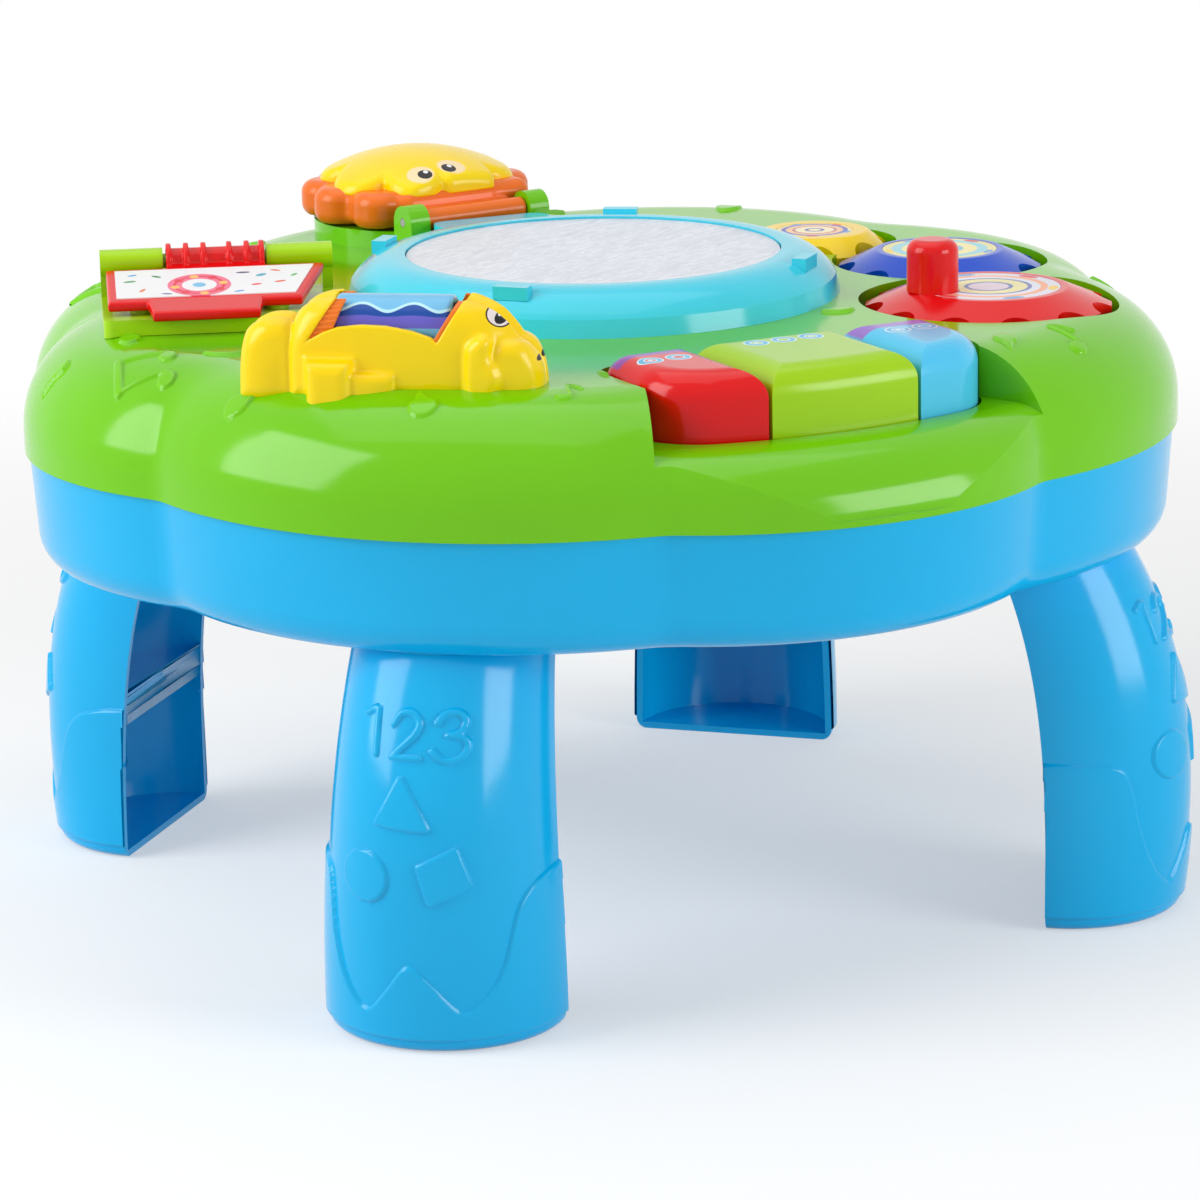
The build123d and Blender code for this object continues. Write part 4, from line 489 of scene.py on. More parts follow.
# ---------------------------------------------------------------- printed artwork
ELEPHANT_AT, ELEPHANT_ANGLE = (-123, -98), -37
BOOK_AT, BOOK_ANGLE = (-133, 18), -21
LION_AT, LION_ANGLE = (0, 140), 6
GEARS = {  # centre and radius of each label, and how many spots lie along its rim
    "red": ((106, -85), 24.4, 6),
    "blue": ((129.725, -14.906), 20.2, 5),
    "yellow": ((111.833, 41.84), 14.0, 5),
}
SPOT_COLOURS = ((226, 40, 44), (84, 160, 216), (248, 206, 60))

# rings on the gear labels, from the rim inwards: share of the radius and colour
LABEL_RINGS = {
    "red": (RED_LABEL, ((0.82, (250, 168, 120)), (0.72, (232, 232, 244)), (0.6, (96, 110, 180)),
                        (0.54, (246, 238, 168)), (0.34, (96, 110, 180)), (0.28, (244, 226, 240)))),
    "blue": (BLUE_LABEL, ((0.84, (150, 214, 226)), (0.66, (250, 234, 160)), (0.42, (120, 190, 214)),
                          (0.3, (252, 240, 190)))),
    "yellow": (YELLOW_LABEL, ((0.86, (84, 92, 190)), (0.74, (250, 200, 150)), (0.58, (190, 120, 120)),
                              (0.5, (252, 236, 190)), (0.26, (86, 96, 170)), (0.16, (252, 236, 190)))),
}
for colour, (mat, rings) in LABEL_RINGS.items():
    centre, label_r, spots = GEARS[colour]
    x, y, _ = places(mat, (*centre, 0))
    out = reach(x, y)
    for share, ring_colour in rings:
        paint(mat, (out - label_r * share).within(), ring_colour)
    for turn in range(spots):
        angle = 360 * turn / spots + 20
        way = math.radians(angle)
        spot = (label_r * 0.9 * math.cos(way), label_r * 0.9 * math.sin(way))
        shape = oval(x, y, spot, (label_r * 0.16, label_r * 0.07), angle + 90)
        paint(mat, shape.within(), SPOT_COLOURS[turn % 3])

# the page: a ring of beads and a few flecks on a white label
RING_X, RING_Y, RING_R = -5.0, 2.5, 8.2
x, y, _ = places(PAGE_PRINT, (*BOOK_AT, 0), BOOK_ANGLE)
out = reach(x, y, RING_X, RING_Y)
paint(PAGE_PRINT, (abs(out - RING_R) - 2.4).within(), (238, 110, 140))
paint(PAGE_PRINT, (abs(out - RING_R) - 0.5).within(), (226, 30, 60))
for turn in range(8):
    angle = math.radians(45 * turn + 10)
    bead = (RING_X + RING_R * math.cos(angle), RING_Y + RING_R * math.sin(angle))
    bead_colour = (226, 24, 58) if turn % 2 else (250, 190, 90)
    paint(PAGE_PRINT, oval(x, y, bead, (1.5, 1.5)).within(), bead_colour)
paint(PAGE_PRINT, (out - 2.2).within(), (120, 190, 230))
FLECKS = (  # place, half widths, lean and colour
    (-28, 8, 2.2, 0.8, 10, (60, 150, 90)), (-24, -1, 1.8, 0.7, 60, (230, 120, 50)),
    (-19, 12, 1.8, 0.8, -30, (40, 140, 80)), (-27, 14, 1.6, 0.7, 20, (80, 160, 220)),
    (-16, -5, 1.8, 0.7, -10, (120, 120, 160)), (10, 13, 2.4, 0.8, 0, (70, 70, 110)),
    (16, 10, 2.0, 1.1, 30, (60, 170, 190)), (21, 14, 1.8, 0.7, -20, (220, 90, 60)),
    (14, 1, 1.8, 0.8, 10, (230, 70, 60)), (22, 3, 2.0, 0.8, 15, (230, 90, 50)),
    (27, 9, 1.6, 0.7, 50, (90, 180, 90)), (8, -5, 1.8, 0.7, 20, (90, 160, 220)),
)
for fx, fy, half_x, half_y, lean, colour in FLECKS:
    paint(PAGE_PRINT, oval(x, y, (fx, fy), (half_x, half_y), lean).within(), colour)

# keys: rings on each, some with a dot, and under those of the outer two a patch with a wavy edge
KEY_PRINTS = {  # patch and places of the rings
    KEY_RED: ((150, 60, 170), ((-51.5, -137), (-41.5, -137))),
    KEY_LIME: (None, ((-10, -131), (0, -131), (10, -131))),
    KEY_BLUE: ((150, 110, 200), ((39, -137), (49, -137))),
}
PATCH_FRONT_Y, PRINT_FROM_Z = -131, 206.5
PALE, SKY = (214, 238, 248), (64, 178, 226)
for mat, (patch, marks) in KEY_PRINTS.items():
    x, y, z = places(mat)
    on_top = (PRINT_FROM_Z - z).within(0.6)
    if patch:
        edge = (PATCH_FRONT_Y - y) + (x * 0.09).sine() * 1.2
        paint(mat, edge.within(0.5) * on_top, patch)
    for number, mark in enumerate(marks):
        out = reach(x, y, *mark)
        paint(mat, (abs(out - 3.0) - 1.3).within() * on_top, PALE)
        paint(mat, (abs(out - 3.0) - 0.75).within() * on_top, SKY)
        if number % 2 == 0:
            paint(mat, (out - 1.0).within() * on_top, PALE)

# the roller: a light band with a wavy edge over a dark one, three times round
ROLLER_Z, ROLLER_R = 222.5, 10.0
ROLLER_WAVE = 16.4  # length of a wave along the roller
x, y, z = places(ROLLER, (*ELEPHANT_AT, ROLLER_Z), ELEPHANT_ANGLE)
turn = (y * -1).math("ARCTAN2", z) * (180 / math.pi)
wave = (x * (2 * math.pi / ROLLER_WAVE) + math.radians(246)).sine() * -9.0
for start in (-120, 0, 120):
    # degrees past the crest of this third of the roller, in -180 to 180
    past = (turn - start + 540).math("MODULO", 360) - 180
    dark = past - 44 - wave
    paint(ROLLER, (past - 81 - wave * 0.2).most(dark * -1 - 2).within(0.6), (24, 74, 160))
    paint(ROLLER, (past - 84).most((past - 62 - wave * 0.15) * -1).within(0.8), (104, 96, 200))
    paint(ROLLER, (abs(dark) - 3.2).within(0.6), (188, 232, 242))
    paint(ROLLER, (abs(past + 10 + wave * 0.4) - 3.0).within(0.6), (240, 240, 246))

# the elephant's eye, on the side that it shows, and its nose and mouth
CRISP = 0.08  # blur of a sharp print
x, y, z = places(ANIMAL, (*ELEPHANT_AT, 0), ELEPHANT_ANGLE)
far_side = y + 4
eye = oval(x, z, (36.0, 227.3), (3.7, 2.5), -38).most(far_side)
paint(ANIMAL, (eye - 0.35).within(CRISP), (24, 20, 20))
paint(ANIMAL, eye.within(CRISP), (236, 224, 224))
pupil = oval(x, z, (36.9, 226.9), (1.9, 2.1), -38).most(far_side)
paint(ANIMAL, pupil.within(CRISP), (20, 20, 24))
glint = oval(x, z, (36.3, 227.6), (0.6, 0.6)).most(far_side)
paint(ANIMAL, glint.within(CRISP), (240, 240, 244))
for spot in ((48.8, 214.5), (51.0, 206.8)):
    paint(ANIMAL, oval(x, z, spot, (1.0, 1.6), -20).within(CRISP), (24, 20, 20))

# the lion's eyes, each with a pale patch round it that is set outwards
x, y, _ = places(FACE, (*LION_AT, 0), LION_ANGLE)
for eye_x, eye_y, lean, outwards in ((-11.8, -25.5, 12, -1.4), (-1.4, -25.0, -12, 1.6)):
    patch = oval(x, y, (eye_x + outwards, eye_y + 0.9), (5.2, 4.6), lean)
    paint(FACE, patch.within(0.5), (250, 224, 176))
    paint(FACE, oval(x, y, (eye_x, eye_y), (2.7, 2.7), lean).within(CRISP), (30, 24, 24))
    paint(FACE, oval(x, y, (eye_x + 1.0, eye_y + 1.2), (0.9, 1.0)).within(CRISP), (240, 240, 244))

# fine streaks in the drumhead, like pressed film
across, along, _ = places(PEARL)
film = PEARL.node_tree
weave = film.nodes.new("ShaderNodeCombineXYZ")
film.links.new((across * 0.035 + along * 0.02).socket, weave.inputs["X"])
film.links.new((along * 0.16 - across * 0.08).socket, weave.inputs["Y"])
crinkle = noise(film, weave.outputs[0], 1.6, 7)
crinkle.inputs["Distortion"].default_value = 1.2
ridge = abs(Term(film, crinkle.outputs["Fac"]) - 0.5)
paint(PEARL, (ridge - 0.03).within(0.03) * 0.75, (236, 239, 246))
paint(PEARL, (0.16 - ridge).within(0.06) * 0.45, (190, 196, 208))

# ---------------------------------------------------------------- elephant
DEEP = 198.0  # the toys' bodies go down this far inside the deck
WINDOW_LEFT = ((-24.0, 219.6), (-13.4, 235.0))  # slanted ends of the opening in its back
WINDOW_RIGHT = ((17.4, 219.6), (27.0, 235.0))
WINDOW_SILL = ((-24.0, 219.6), (-18.7, 222.6), (-14.0, 224.2), (-6.1, 225.0), (1.8, 224.6),
               (9.6, 223.2), (15.5, 221.2), (17.4, 219.6))
# side outlines are (along the body, up) and plans (along the body, out from its middle)
BODY_SIDE = curve_through((
    (-34, DEEP), (-34, 212), (-33.4, 218.4), (-30.3, 225.1), (-26, 229.8), (-20.4, 232.3), (-13, 233),
    (0, 233), (14, 233), (24, 232.6), (30, 231.2), (36, 228.4), (41, 223.6), (45, 217.5), (48, 211),
    (49.8, 205), (50, DEEP),
))
BODY_PLAN = curve_through((
    (-34, 0), (-33.6, 6), (-32, 10.2), (-27, 12.8), (-18, 13.2), (0, 13.2), (20, 13.2), (29, 12.2),
    (37, 10.2), (44, 8.2), (48.5, 5), (50, 0),
))
RUMP_SIDE = curve_through((
    (-50, DEEP), (-49.9, 204), (-49.4, 210), (-47.8, 217), (-44.6, 222.4), (-39.8, 225.2), (-35, 226),
    (-30, 225), (-26, 219), (-26, DEEP),
))
RUMP_PLAN = curve_through(((-50.2, 0), (-49.4, 4.5), (-46.5, 8), (-41, 9.8), (-34, 10), (-26, 9), (-26, 0)))
JAW_SIDE = curve_through((
    (33, DEEP), (33, 214), (34.8, 218.4), (39, 220.2), (45, 218.6), (49, 213.5), (51, 207), (51, DEEP),
))
JAW_PLAN = curve_through(((31, 0), (31, 11), (35, 12.6), (42, 12), (47.6, 9), (50.6, 4.6), (51.2, 0)))
EAR_SIDE = curve_through((
    (25.9, DEEP), (25.8, 209), (26.4, 218), (29, 221), (31.8, 222.2), (34.4, 220.6), (34.8, 215),
    (36.6, 212), (37.4, 208.6), (36.6, 205), (35, DEEP),
))
THIGH_SIDE = ((-23.8, DEEP), (-23.8, 213.9), (-9.4, 213.9), (-9.4, DEEP))
SHIN_SIDE = ((-10.4, DEEP), (-10.4, 210.2), (4.6, 210.2), (4.6, DEEP))
SHIN_PLAN = ((-10.4, 6), (-10.4, 17.4), (-3, 16.8), (4.6, 14.6), (4.6, 6))
ROLLER_GAP = 1.0  # between the roller and its room
LINER_GAP = 0.7  # between the roller and the orange pieces


def slant(line, s, z):
    """Signed distance to a slanted end of the window, positive towards the head."""
    (s0, z0), (s1, z1) = line
    length = math.hypot(s1 - s0, z1 - z0)
    return ((s - s0) * (z1 - z0) - (z - z0) * (s1 - s0)) / length


def above_sill(s, z):
    """How far a place is above the window's sill."""
    sill = np.array(WINDOW_SILL)
    return z - np.interp(s, sill[:, 0], sill[:, 1])


def elephant_hull(s, t, z):
    """Signed distance to the elephant with no window in its back."""
    wide = np.abs(t)
    body = rounded(to_outline(BODY_SIDE, s, z), to_outline(BODY_PLAN, s, wide), 8.5)
    rump = rounded(to_outline(RUMP_SIDE, s, z), to_outline(RUMP_PLAN, s, wide), 6.5)
    jaw = rounded(to_outline(JAW_SIDE, s, z), to_outline(JAW_PLAN, s, wide), 4.5)
    ear = rounded(to_outline(EAR_SIDE, s, z), np.abs(wide - 8) - 7.6, 4.0)
    thigh = rounded(to_outline(THIGH_SIDE, s, z), np.abs(wide - 10) - 9.4, 4.2)
    shin = rounded(to_outline(SHIN_SIDE, s, z), to_outline(SHIN_PLAN, s, wide), 3.4)
    whole = melted(np.minimum(body, rump), jaw, 1.6)
    whole = melted(whole, ear, 2.0)
    whole = melted(whole, thigh, 3.2)
    return np.maximum(melted(whole, shin, 1.6), DEEP - z)


def roller_room(s, t, z):
    """Signed distance to the room of the roller, open upwards between the window's ends."""
    tube = overlap(np.hypot(t, z - ROLLER_Z) - ROLLER_R - ROLLER_GAP, np.abs(s - 2.5) - 19.6)
    window = overlap(-slant(WINDOW_LEFT, s, z), slant(WINDOW_RIGHT, s, z), -above_sill(s, z))
    return np.minimum(tube, window)


def elephant_field(s, t, z):
    """Signed distance to the elephant with the room of its roller."""
    return rounded(elephant_hull(s, t, z), -roller_room(s, t, z), 0.7)


def beside_roller(s, t, z, skin, band):
    """Signed distance to what a band and a skin share, clear of the roller and over the sill."""
    inner = ROLLER_R + LINER_GAP - np.hypot(t, z - ROLLER_Z)
    return overlap(skin, band, inner, -above_sill(s, z) - 0.3)


def strip_field(s, t, z):
    """Ribbed strip along the tail end of the window."""
    turn = np.degrees(np.arctan2(-t, z - ROLLER_Z + 4))
    ribs = 0.28 * np.cos(np.radians(turn * 360 / 6.6))
    left = slant(WINDOW_LEFT, s, z)
    width = np.interp(z, (219.6, 233), (5.6, 2.6))
    band = np.maximum(-left - 0.3, left - width)
    return beside_roller(s, t, z, elephant_hull(s, t, z) + 0.9 - ribs, band)


def trim_field(s, t, z):
    """Thin orange edge along the head end of the window."""
    right = slant(WINDOW_RIGHT, s, z)
    band = np.maximum(right - 0.3, -right - 1.3)
    return beside_roller(s, t, z, elephant_hull(s, t, z) + 0.5, band)


PITCH = 0.55
FINE_PITCH = 0.4  # of the thin orange pieces
elephant = shaped("elephant", elephant_field, (-51.5, -21, DEEP - 1), (52.5, 21, 234.5), PITCH,
                  ELEPHANT_AT, ELEPHANT_ANGLE, ANIMAL, "table")
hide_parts("elephant_body")
strip = shaped("elephant_strip", strip_field, (-26, -14.5, 217), (-8, 14.5, 235), FINE_PITCH,
               ELEPHANT_AT, ELEPHANT_ANGLE, STRIP, "table")
trim = shaped("elephant_trim", trim_field, (14, -14.5, 217), (29, 14.5, 235), FINE_PITCH,
              ELEPHANT_AT, ELEPHANT_ANGLE, STRIP, "table")


def revolved(name, profile, segments, centre, angle, material, body):
    """Closed shell turned about the local x axis. Its profile is a closed line of (along, radius)."""
    profile = np.asarray(profile, float)
    turns = np.linspace(0, 2 * math.pi, segments, endpoint=False)
    points = np.array([(along, r * math.sin(turn), r * math.cos(turn))
                       for along, r in profile for turn in turns])
    faces = []
    for ring in range(len(profile) - 1):
        for k in range(segments):
            n = (k + 1) % segments
            faces.append((ring * segments + k, ring * segments + n,
                          (ring + 1) * segments + n, (ring + 1) * segments + k))
    points = turned(points, centre[:2], angle)
    points[:, 2] += centre[2]
    return mesh_piece(name, points, faces, material, body)


# from the bore over the tail end, along the roller and back over the head end
ROLLER_PROFILE = (
    (-16, 2.4), (-16, 4.6), (-14.6, 5.0), (-14.6, 8.0), (-15.6, 8.4), (-16.0, 9.0), (-15.8, 9.7),
    (-15.2, ROLLER_R), (-14.6, ROLLER_R), *((along, ROLLER_R) for along in range(-13, 20, 2)),
    (19.6, ROLLER_R), (20.6, 9.8), (21.0, 9.2), (20.6, 8.4), (19.6, 8.0), (19.6, 5.0), (21.0, 4.6),
    (21.0, 2.4), (-16, 2.4),
)
roller = revolved("elephant_roller_drum", ROLLER_PROFILE, 96, (*ELEPHANT_AT, ROLLER_Z), ELEPHANT_ANGLE,
                  ROLLER, "elephant_roller")
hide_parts("elephant_roller")

# ---------------------------------------------------------------- raised shapes on the legs
LEG_DIRECTIONS = {"front_left": -135, "front_right": -45, "rear_left": 135, "rear_right": 45}
# what is raised on a leg is drawn in (across, up): the digits 1, 2 and 3 and three plain shapes
DIGITS = (
    ((-15.4, 106.6), (-12.4, 108.6), (-11.2, 108.4), (-11.0, 95.2)),
    curve_through((
        (-5.4, 104.6), (-3.2, 108.0), (0.6, 108.4), (3.0, 105.6), (1.8, 102.2), (-1.6, 98.8),
        (-5.4, 95.2),
    )),
    ((-5.4, 95.2), (3.6, 95.2)),
    curve_through(((8.4, 105.6), (10.6, 108.2), (14.2, 108.4), (16.6, 105.8), (15.4, 102.8), (12.0, 101.8))),
    curve_through(((12.0, 101.8), (16.0, 101.0), (17.8, 98.0), (15.6, 95.0), (11.2, 94.4), (7.6, 97.4))),
)
DIGIT_HALF = 1.35  # half the width of a stroke
TRIANGLE = ((-1.9, 88.5), (-9.0, 74.9), (6.7, 73.7))
SQUARE = ((4.7, 61.8), (8.4, 50.1), (19.7, 55.7), (15.6, 67.2))
CIRCLE_AT, CIRCLE_R = (-13.7, 57.4), 8.7
SLEEVE = curve_through((
    (-60, 59), (-40, 58.5), (-30.6, 57.0), (-28.2, 50), (-26.5, 35.6), (-22.5, 22.5), (-14.9, 14.1),
    (-7.5, 21), (0.5, 30), (8.5, 23), (17.3, 14.2), (24.3, 20.6), (28.2, 29.6), (31.7, 47.7),
    (37.2, 55.3), (45, 58.5), (60, 59),
))
SLEEVE_FLOOR = 4.0  # the sleeve ends this far above the floor


def leg_shapes(u, v):
    """Signed distance to the digits and the three plain shapes of a leg."""
    digits = np.minimum.reduce([to_line(line, u, v) for line in DIGITS]) - DIGIT_HALF
    triangle = to_outline(TRIANGLE, u, v) - 1.6
    square = to_outline(SQUARE, u, v) - 1.2
    circle = np.hypot(u - CIRCLE_AT[0], v - CIRCLE_AT[1]) - CIRCLE_R
    return np.minimum.reduce([digits, triangle, square, circle])


def leg_sleeve(u, v):
    """Signed distance to the raised foot of a leg, which ends above in a wavy line."""
    return np.maximum((v - np.interp(u, SLEEVE[:, 0], SLEEVE[:, 1])) * 0.7, SLEEVE_FLOOR - v)


def level_way(angle):
    """Direction without slope at an angle in degrees."""
    return np.array((math.cos(math.radians(angle)), math.sin(math.radians(angle)), 0))


UP = np.array((0, 0, 1))
LEG_LIFT = 1.1
FRONT_START_R = 260  # rays at a leg's front start this far from the table's middle
FRONT_ACROSS, FRONT_UP = (-24.5, 22.5), (46, 112)
SLEEVE_MIDDLE_R, SLEEVE_START = 166, 70  # rays at its sleeve come from round this place, this far off
SLEEVE_TURN, SLEEVE_UP = (-92, 92.1), (1.0, 66)  # degrees, millimetres
for corner, direction in LEG_DIRECTIONS.items():
    out_way, side_way = level_way(direction), level_way(direction + 90)
    tree = probe(f"leg_{corner}")
    step = 0.6
    rays = [[(tuple(side_way * u + out_way * FRONT_START_R + UP * v), tuple(-out_way))
             for v in np.arange(*FRONT_UP, step)] for u in np.arange(*FRONT_ACROSS, step)]
    shapes = relief(f"leg_{corner}_shapes", tree, rays,
                    lambda hits: leg_shapes(hits @ side_way, hits[..., 2]),
                    BLUE, "table", lift=LEG_LIFT, soft=0.7)
    rays = []
    for turn in np.arange(*SLEEVE_TURN, 0.9):
        way = level_way(direction + turn)
        start = out_way * SLEEVE_MIDDLE_R + way * SLEEVE_START
        rays.append([(tuple(start + UP * v), tuple(-way)) for v in np.arange(*SLEEVE_UP, step * 1.1)])
    sleeve = relief(f"leg_{corner}_sleeve", tree, rays,
                    lambda hits: leg_sleeve(hits @ side_way, hits[..., 2]),
                    BLUE, "table", lift=LEG_LIFT, soft=0.9)

# ---------------------------------------------------------------- raised shapes on the deck
deck_tree = probe("top_shell")


def local_place(x, y, place, angle, size):
    """Places of the deck as a shape of a given place, angle and size sees them."""
    c, s = math.cos(math.radians(angle)), math.sin(math.radians(angle))
    dx, dy = (x - place[0]) / size, (y - place[1]) / size
    return dx * c + dy * s, dy * c - dx * s


def note(x, y, place, angle, size=1.0):
    """Musical note: a round head, a stem and a flag."""
    u, v = local_place(x, y, place, angle, size)
    head = np.hypot(u / 1.25, v) * 1.1 - 3.0
    stem = to_line(((3.0, 0.5), (3.0, 13.0)), u, v) - 0.9
    flag = to_line(curve_through(((3.0, 13.0), (5.6, 10.4), (7.4, 7.4))), u, v) - 1.1
    return np.minimum.reduce([head, stem, flag]) * size


def beamed(x, y, place, angle, size=1.0):
    """Two notes that share a beam."""
    u, v = local_place(x, y, place, angle, size)
    heads = np.minimum(np.hypot((u + 5) / 1.25, v), np.hypot((u - 6) / 1.25, v - 1)) * 1.1 - 2.8
    first, second = to_line(((-2.2, 0), (-2.2, 12)), u, v), to_line(((8.8, 1), (8.8, 13.4)), u, v)
    stems = np.minimum(first, second) - 0.9
    beam = to_line(((-2.2, 12), (8.8, 13.4)), u, v) - 1.5
    return np.minimum.reduce([heads, stems, beam]) * size


def drop(x, y, place, angle, size=1.0):
    """Round drop with a pointed end."""
    u, v = local_place(x, y, place, angle, size)
    tail = to_line(((0, 0), (0, 8.5)), u, v) - np.interp(v, (0, 8.5), (3.6, 0.7))
    return np.minimum(np.hypot(u, v) - 4.4, tail) * size


def leaf(x, y, place, angle, size=1.0):
    """Pointed leaf."""
    u, v = local_place(x, y, place, angle, size)
    return (np.hypot(u, np.abs(v) + 5.0) - 9.6) * size


DECK_SHAPES = (  # shape, place, angle, size
    (beamed, (-170.0, -30.0), 60, 1.35), (drop, (-126.5, -128.0), -20, 1.15),
    (drop, (-166.0, -76.0), -105, 1.15), (leaf, (-150.0, -30.0), -20, 1.0), (leaf, (-168.0, 8.0), 60, 0.9),
    (note, (-87.3, -146.5), -20, 0.9), (drop, (73.5, -146.6), 160, 1.0), (leaf, (51.5, -77.5), -10, 0.8),
    (note, (98.0, -152.0), 20, 1.1), (drop, (-189.0, 17.0), 80, 0.8), (note, (-60.0, 150.0), 30, 1.1),
    (beamed, (-130.0, 110.0), 120, 1.1), (drop, (60.0, 152.0), 200, 1.0), (leaf, (120.0, 120.0), 40, 1.1),
    (note, (165.0, 60.0), -80, 1.0), (drop, (170.0, -60.0), 100, 0.9), (leaf, (-92.0, -112.0), -35, 0.8),
    (drop, (95.0, 100.0), 30, 0.9), (leaf, (-60.0, -128.0), -60, 0.8), (drop, (-70.0, 125.0), 0, 0.9),
)
ABOVE_DECK = 240.0  # height that the rays start from
SHAPE_REACH = 17  # no shape of size 1 reaches further from its place
# the raised shapes take the lighter copy of the deck green, painted light for their highlights
for number, (shape, place, angle, size) in enumerate(DECK_SHAPES):
    step = 0.55
    ticks = np.arange(-SHAPE_REACH * size, SHAPE_REACH * size, step)
    rays = [[((place[0] + dx, place[1] + dy, ABOVE_DECK), (0, 0, -1)) for dy in ticks] for dx in ticks]
    raised = relief(f"deck_shape_{number:02d}", deck_tree, rays,
                    lambda hits: shape(hits[..., 0], hits[..., 1], place, angle, size),
                    GREEN_RELIEF_LIT, "table", lift=1.0, soft=0.9)

# ---------------------------------------------------------------- lion
MANE_LOW, MANE_TOP = 211.9, 225.4
MANE_FRONT = -31.0  # straight edge beside the hinge
MANE_WALL, MANE_RIM = 2.8, 2.6  # the face lies in a hollow of the mane, inside this wall and this deep
HINGE_Y, HINGE_Z = -38.0, 216.5
PIN_BORE_R = 1.9
FACE_LOW, FACE_TOP = 223.4, 236.8


def ring_of_curls(count, circle, start, radii):
    """Round curls (across, along, radius) on a circle, with radii that take turns."""
    angles = [2 * math.pi * k / count + start for k in range(count)]
    return [(circle * math.cos(angle), circle * math.sin(angle), radii[k % len(radii)])
            for k, angle in enumerate(angles)]


MANE_CURLS = ring_of_curls(11, 32.5, 0.3, (9.8,))
FACE_CURLS = ring_of_curls(8, 25.5, 0.2, (11.2, 10.0))


def clouded(curls, core, x, y, bend):
    """Signed distance in a plane to a disc with round curls along its edge."""
    plan = np.hypot(x, y) - core
    for across, along, r in curls:
        plan = melted(plan, np.hypot(x - across, y - along) - r, bend)
    return plan


def mane_field(x, y, z):
    """Signed distance to the mane, with the hollow of the face, and the bar and arm of the hinge."""
    plan = rounded(clouded(MANE_CURLS, 35.5, x, y, 4.0), MANE_FRONT - y, 3.0)
    middle, half = (MANE_LOW + MANE_TOP) / 2, (MANE_TOP - MANE_LOW) / 2
    block = rounded(plan, np.abs(z - middle) - half, 4.8)
    hollow = rounded(plan + MANE_WALL, z - MANE_TOP + MANE_RIM, 3.0)
    block = rounded(block, -hollow, 0.4)
    from_pin = np.hypot(y - HINGE_Y, z - HINGE_Z)
    bar = overlap(from_pin - 4.0, np.abs(x) - 21.0)
    arm = overlap(np.abs(z - HINGE_Z) - 3.0, np.abs(y + 33.5) - 4.5, np.abs(x) - 19.5)
    whole = melted(np.minimum(block, bar), arm, 1.2)
    return np.maximum(whole, PIN_BORE_R - from_pin)


def face_field(x, y, z):
    """Signed distance to the domed face."""
    plan = rounded(clouded(FACE_CURLS, 27.0, x, y, 3.0), MANE_FRONT + 0.4 - y, 2.0)
    dome = z - FACE_TOP + 10.6 * (x * x + (y - 1) ** 2) / 38.0**2
    return np.maximum(rounded(plan, dome * 0.93, 2.8), FACE_LOW - z)


LION_PITCH = 0.6
mane = shaped("lion_mane_shape", mane_field, (-44, -44, 209.5), (44, 44, 228), LION_PITCH,
              LION_AT, LION_ANGLE, ORANGE, "lion_lid")
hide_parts("lion_mane")
face = shaped("lion_face_shape", face_field, (-40, -40, 222), (40, 40, 238.5), LION_PITCH,
              LION_AT, LION_ANGLE, FACE, "lion_lid")
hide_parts("lion_face")

# ---------------------------------------------------------------- page of the book
ROD_Y, ROD_Z = 29.5, 221.5
PAGE_THICK = 3.4
PAGE_FRONT_Y, PAGE_FRONT_Z = -10.5, 215.4  # front edge of the page's top
PAGE_SLOPE, PAGE_LEAN = 0.16, 0.987  # rise of the top towards the rod, and about the cosine of its lean
PAGE_PLAN = (
    (-35.5, 21.5), (-35.5, PAGE_FRONT_Y), (-22.5, PAGE_FRONT_Y), (-21.0, -21.5), (14.0, -21.5),
    (15.5, PAGE_FRONT_Y), (28.5, PAGE_FRONT_Y), (37.5, 21.5),
)
LABEL_PLAN = ((-32.8, 19.0), (-32.8, -7.6), (26.6, -7.6), (34.2, 19.0))
LABEL_FACES = ((3, 2, 1, 0), (4, 5, 6, 7), (0, 1, 5, 4), (1, 2, 6, 5), (2, 3, 7, 6), (3, 0, 4, 7))
LABEL_UNDER, LABEL_OVER = -0.3, 0.35  # the label's two faces, from the page's top
TUBE_MIDDLE, TUBE_HALF, TUBE_R, ROD_BORE_R = 1.4, 16.7, 4.2, 2.9  # the tube that turns on the rod
FINS, FIN_R = (-14.3, -8.4, -2.5, 6.2, 12.1, 17.1), 5.9


def page_top(y):
    """Height of the page's leaning top."""
    return PAGE_FRONT_Z + (y - PAGE_FRONT_Y) * PAGE_SLOPE


def page_field(x, y, z):
    """Signed distance to the page, its neck and the ribbed tube on the rod."""
    slab = np.abs((z - page_top(y)) * PAGE_LEAN + PAGE_THICK / 2) - PAGE_THICK / 2
    sheet = rounded(to_outline(PAGE_PLAN, x, y) - 0.2, slab, 1.2)
    beside_tube = np.abs(x - TUBE_MIDDLE) - TUBE_HALF
    neck = overlap(slab, beside_tube, np.abs(y - 24) - 5.5)
    from_rod = np.hypot(y - ROD_Y, z - ROD_Z)
    tube = np.maximum(from_rod - TUBE_R, beside_tube)
    fins = np.minimum.reduce([np.abs(x - at) for at in FINS]) - 0.9
    comb = rounded(fins, from_rod - FIN_R, 0.4)
    whole = np.minimum.reduce([melted(sheet, neck, 0.6), tube, comb])
    return np.maximum(whole, ROD_BORE_R - from_rod)


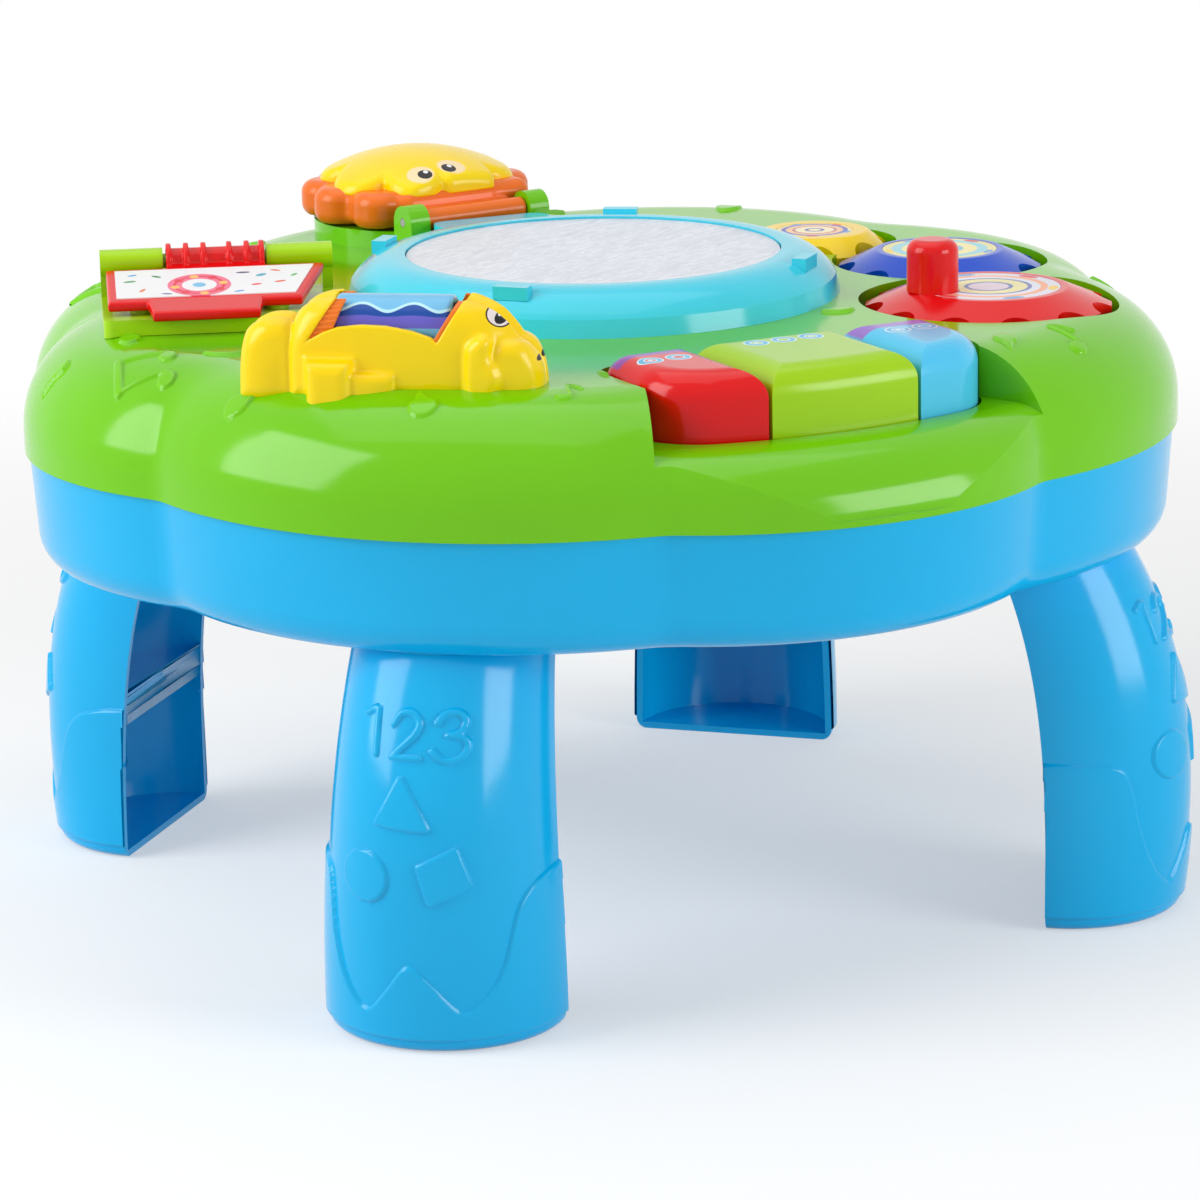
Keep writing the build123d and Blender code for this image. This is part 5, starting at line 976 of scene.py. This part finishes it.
PAGE_PITCH = 0.45
page = shaped("book_page_leaf", page_field, (-37, -23, 208.5), (39, 36.5, 229), PAGE_PITCH,
              BOOK_AT, BOOK_ANGLE, RED, "book_page")
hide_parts("book_page")
corners = [(x, y, page_top(y) + lift) for lift in (LABEL_UNDER, LABEL_OVER) for x, y in LABEL_PLAN]
label = mesh_piece("book_page_picture", turned(corners, BOOK_AT, BOOK_ANGLE), LABEL_FACES, PAGE_PRINT,
                   "book_page", smooth=False)
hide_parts("book_page_label")

# ---------------------------------------------------------------- camera
CAMERA_LENS = 143.017
CAMERA_PLACE = (-0.740837, -1.430339, 0.510533)
CAMERA_AXES = (  # to the right, up and back
    (0.88552968, -0.46419128, -0.01906952),
    (0.13226175, 0.21254031, 0.96815983),
    (-0.44535831, -0.85985643, 0.2496055),
)
camera_data = bpy.data.cameras.new("camera")
camera_data.sensor_width = 36
camera_data.sensor_fit = "HORIZONTAL"
camera_data.lens = CAMERA_LENS
camera_data.clip_end = 20
camera = bpy.data.objects.new("camera", camera_data)
scene.collection.objects.link(camera)
camera.matrix_world = Matrix.Translation(CAMERA_PLACE) @ Matrix(CAMERA_AXES).transposed().to_4x4()
scene.camera = camera

# ---------------------------------------------------------------- floor, light and view
ROOM_LIGHT = 0.32  # strength of the light that comes from all round
FLOOR_R = 6
FLOOR_GAP = 0.0002  # the floor lies this far under the feet
PAPER_GLOW = 0.45  # share of the backdrop's white that the floor shows beside the table
PAPER_WHITE = 0.8  # colour of the floor for the light that it throws back
FADE_FROM, FADE_TO = 0.42, 0.95  # from the table's middle, where the floor turns into the backdrop
scene.view_settings.view_transform = "Standard"
world = bpy.data.worlds.new("studio")
scene.world = world
world.use_nodes = True
sky = world.node_tree
room = sky.nodes["Background"]
room.inputs["Color"].default_value = (1, 1, 1, 1)
room.inputs["Strength"].default_value = ROOM_LIGHT
backdrop = sky.nodes.new("ShaderNodeBackground")
backdrop.inputs["Color"].default_value = (1, 1, 1, 1)
blended(sky, seen_directly(sky), room.outputs[0], backdrop.outputs[0], "World Output")

floor_mesh = bpy.data.meshes.new("studio_floor")
floor_bm = bmesh.new()
bmesh.ops.create_circle(floor_bm, cap_ends=True, radius=FLOOR_R, segments=96)
floor_bm.to_mesh(floor_mesh)
floor_bm.free()
floor = bpy.data.objects.new("studio_floor", floor_mesh)
floor.location.z = -FLOOR_GAP
scene.collection.objects.link(floor)
paper = plastic("studio_paper", (252, 252, 252), 0.9, 0.004, clear=0, shine=0.05)
floor.data.materials.append(paper)
sheet = paper.node_tree
paper_shader = sheet.nodes["Principled BSDF"]
looked_at = seen_directly(sheet)
across, along, _ = places(paper)
far = sheet.nodes.new("ShaderNodeMapRange")
far.interpolation_type = "SMOOTHSTEP"
far.inputs["From Min"].default_value = FADE_FROM / MM
far.inputs["From Max"].default_value = FADE_TO / MM
sheet.links.new(reach(across, along).socket, far.inputs["Value"])
tone = sheet.nodes.new("ShaderNodeMix")
tone.data_type = "RGBA"
sheet.links.new(looked_at.socket, tone.inputs["Factor"])
tone.inputs["A"].default_value = (PAPER_WHITE, PAPER_WHITE, PAPER_WHITE, 1)
sheet.links.new(paper_shader.inputs["Base Color"].links[0].from_socket, tone.inputs["B"])
sheet.links.new(tone.outputs["Result"], paper_shader.inputs["Base Color"])
white = sheet.nodes.new("ShaderNodeEmission")
white.inputs["Strength"].default_value = 1
whitened = Term(sheet, far.outputs["Result"]) * (1 - PAPER_GLOW) + PAPER_GLOW
blended(sheet, whitened * looked_at, paper_shader.outputs[0], white.outputs[0], "Material Output")


def soft_light(name, place, aim, width, height, power):
    """Large soft panel that points at a place on the table."""
    data = bpy.data.lights.new(name, "AREA")
    data.shape = "RECTANGLE"
    data.size = width
    data.size_y = height
    data.energy = power
    lamp = bpy.data.objects.new(name, data)
    lamp.location = place
    lamp.rotation_euler = (Vector(aim) - Vector(place)).to_track_quat("-Z", "Y").to_euler()
    scene.collection.objects.link(lamp)


soft_light("top_panel", (-0.1, 0.1, 1.5), (0, 0, 0.2), 1.4, 1.4, 7)
soft_light("left_panel", (-1.45, 0.2, 0.85), (0, 0, 0.18), 1.0, 1.15, 19)
soft_light("right_panel", (0.8, -1.35, 0.5), (0, 0, 0.15), 0.8, 0.7, 12)
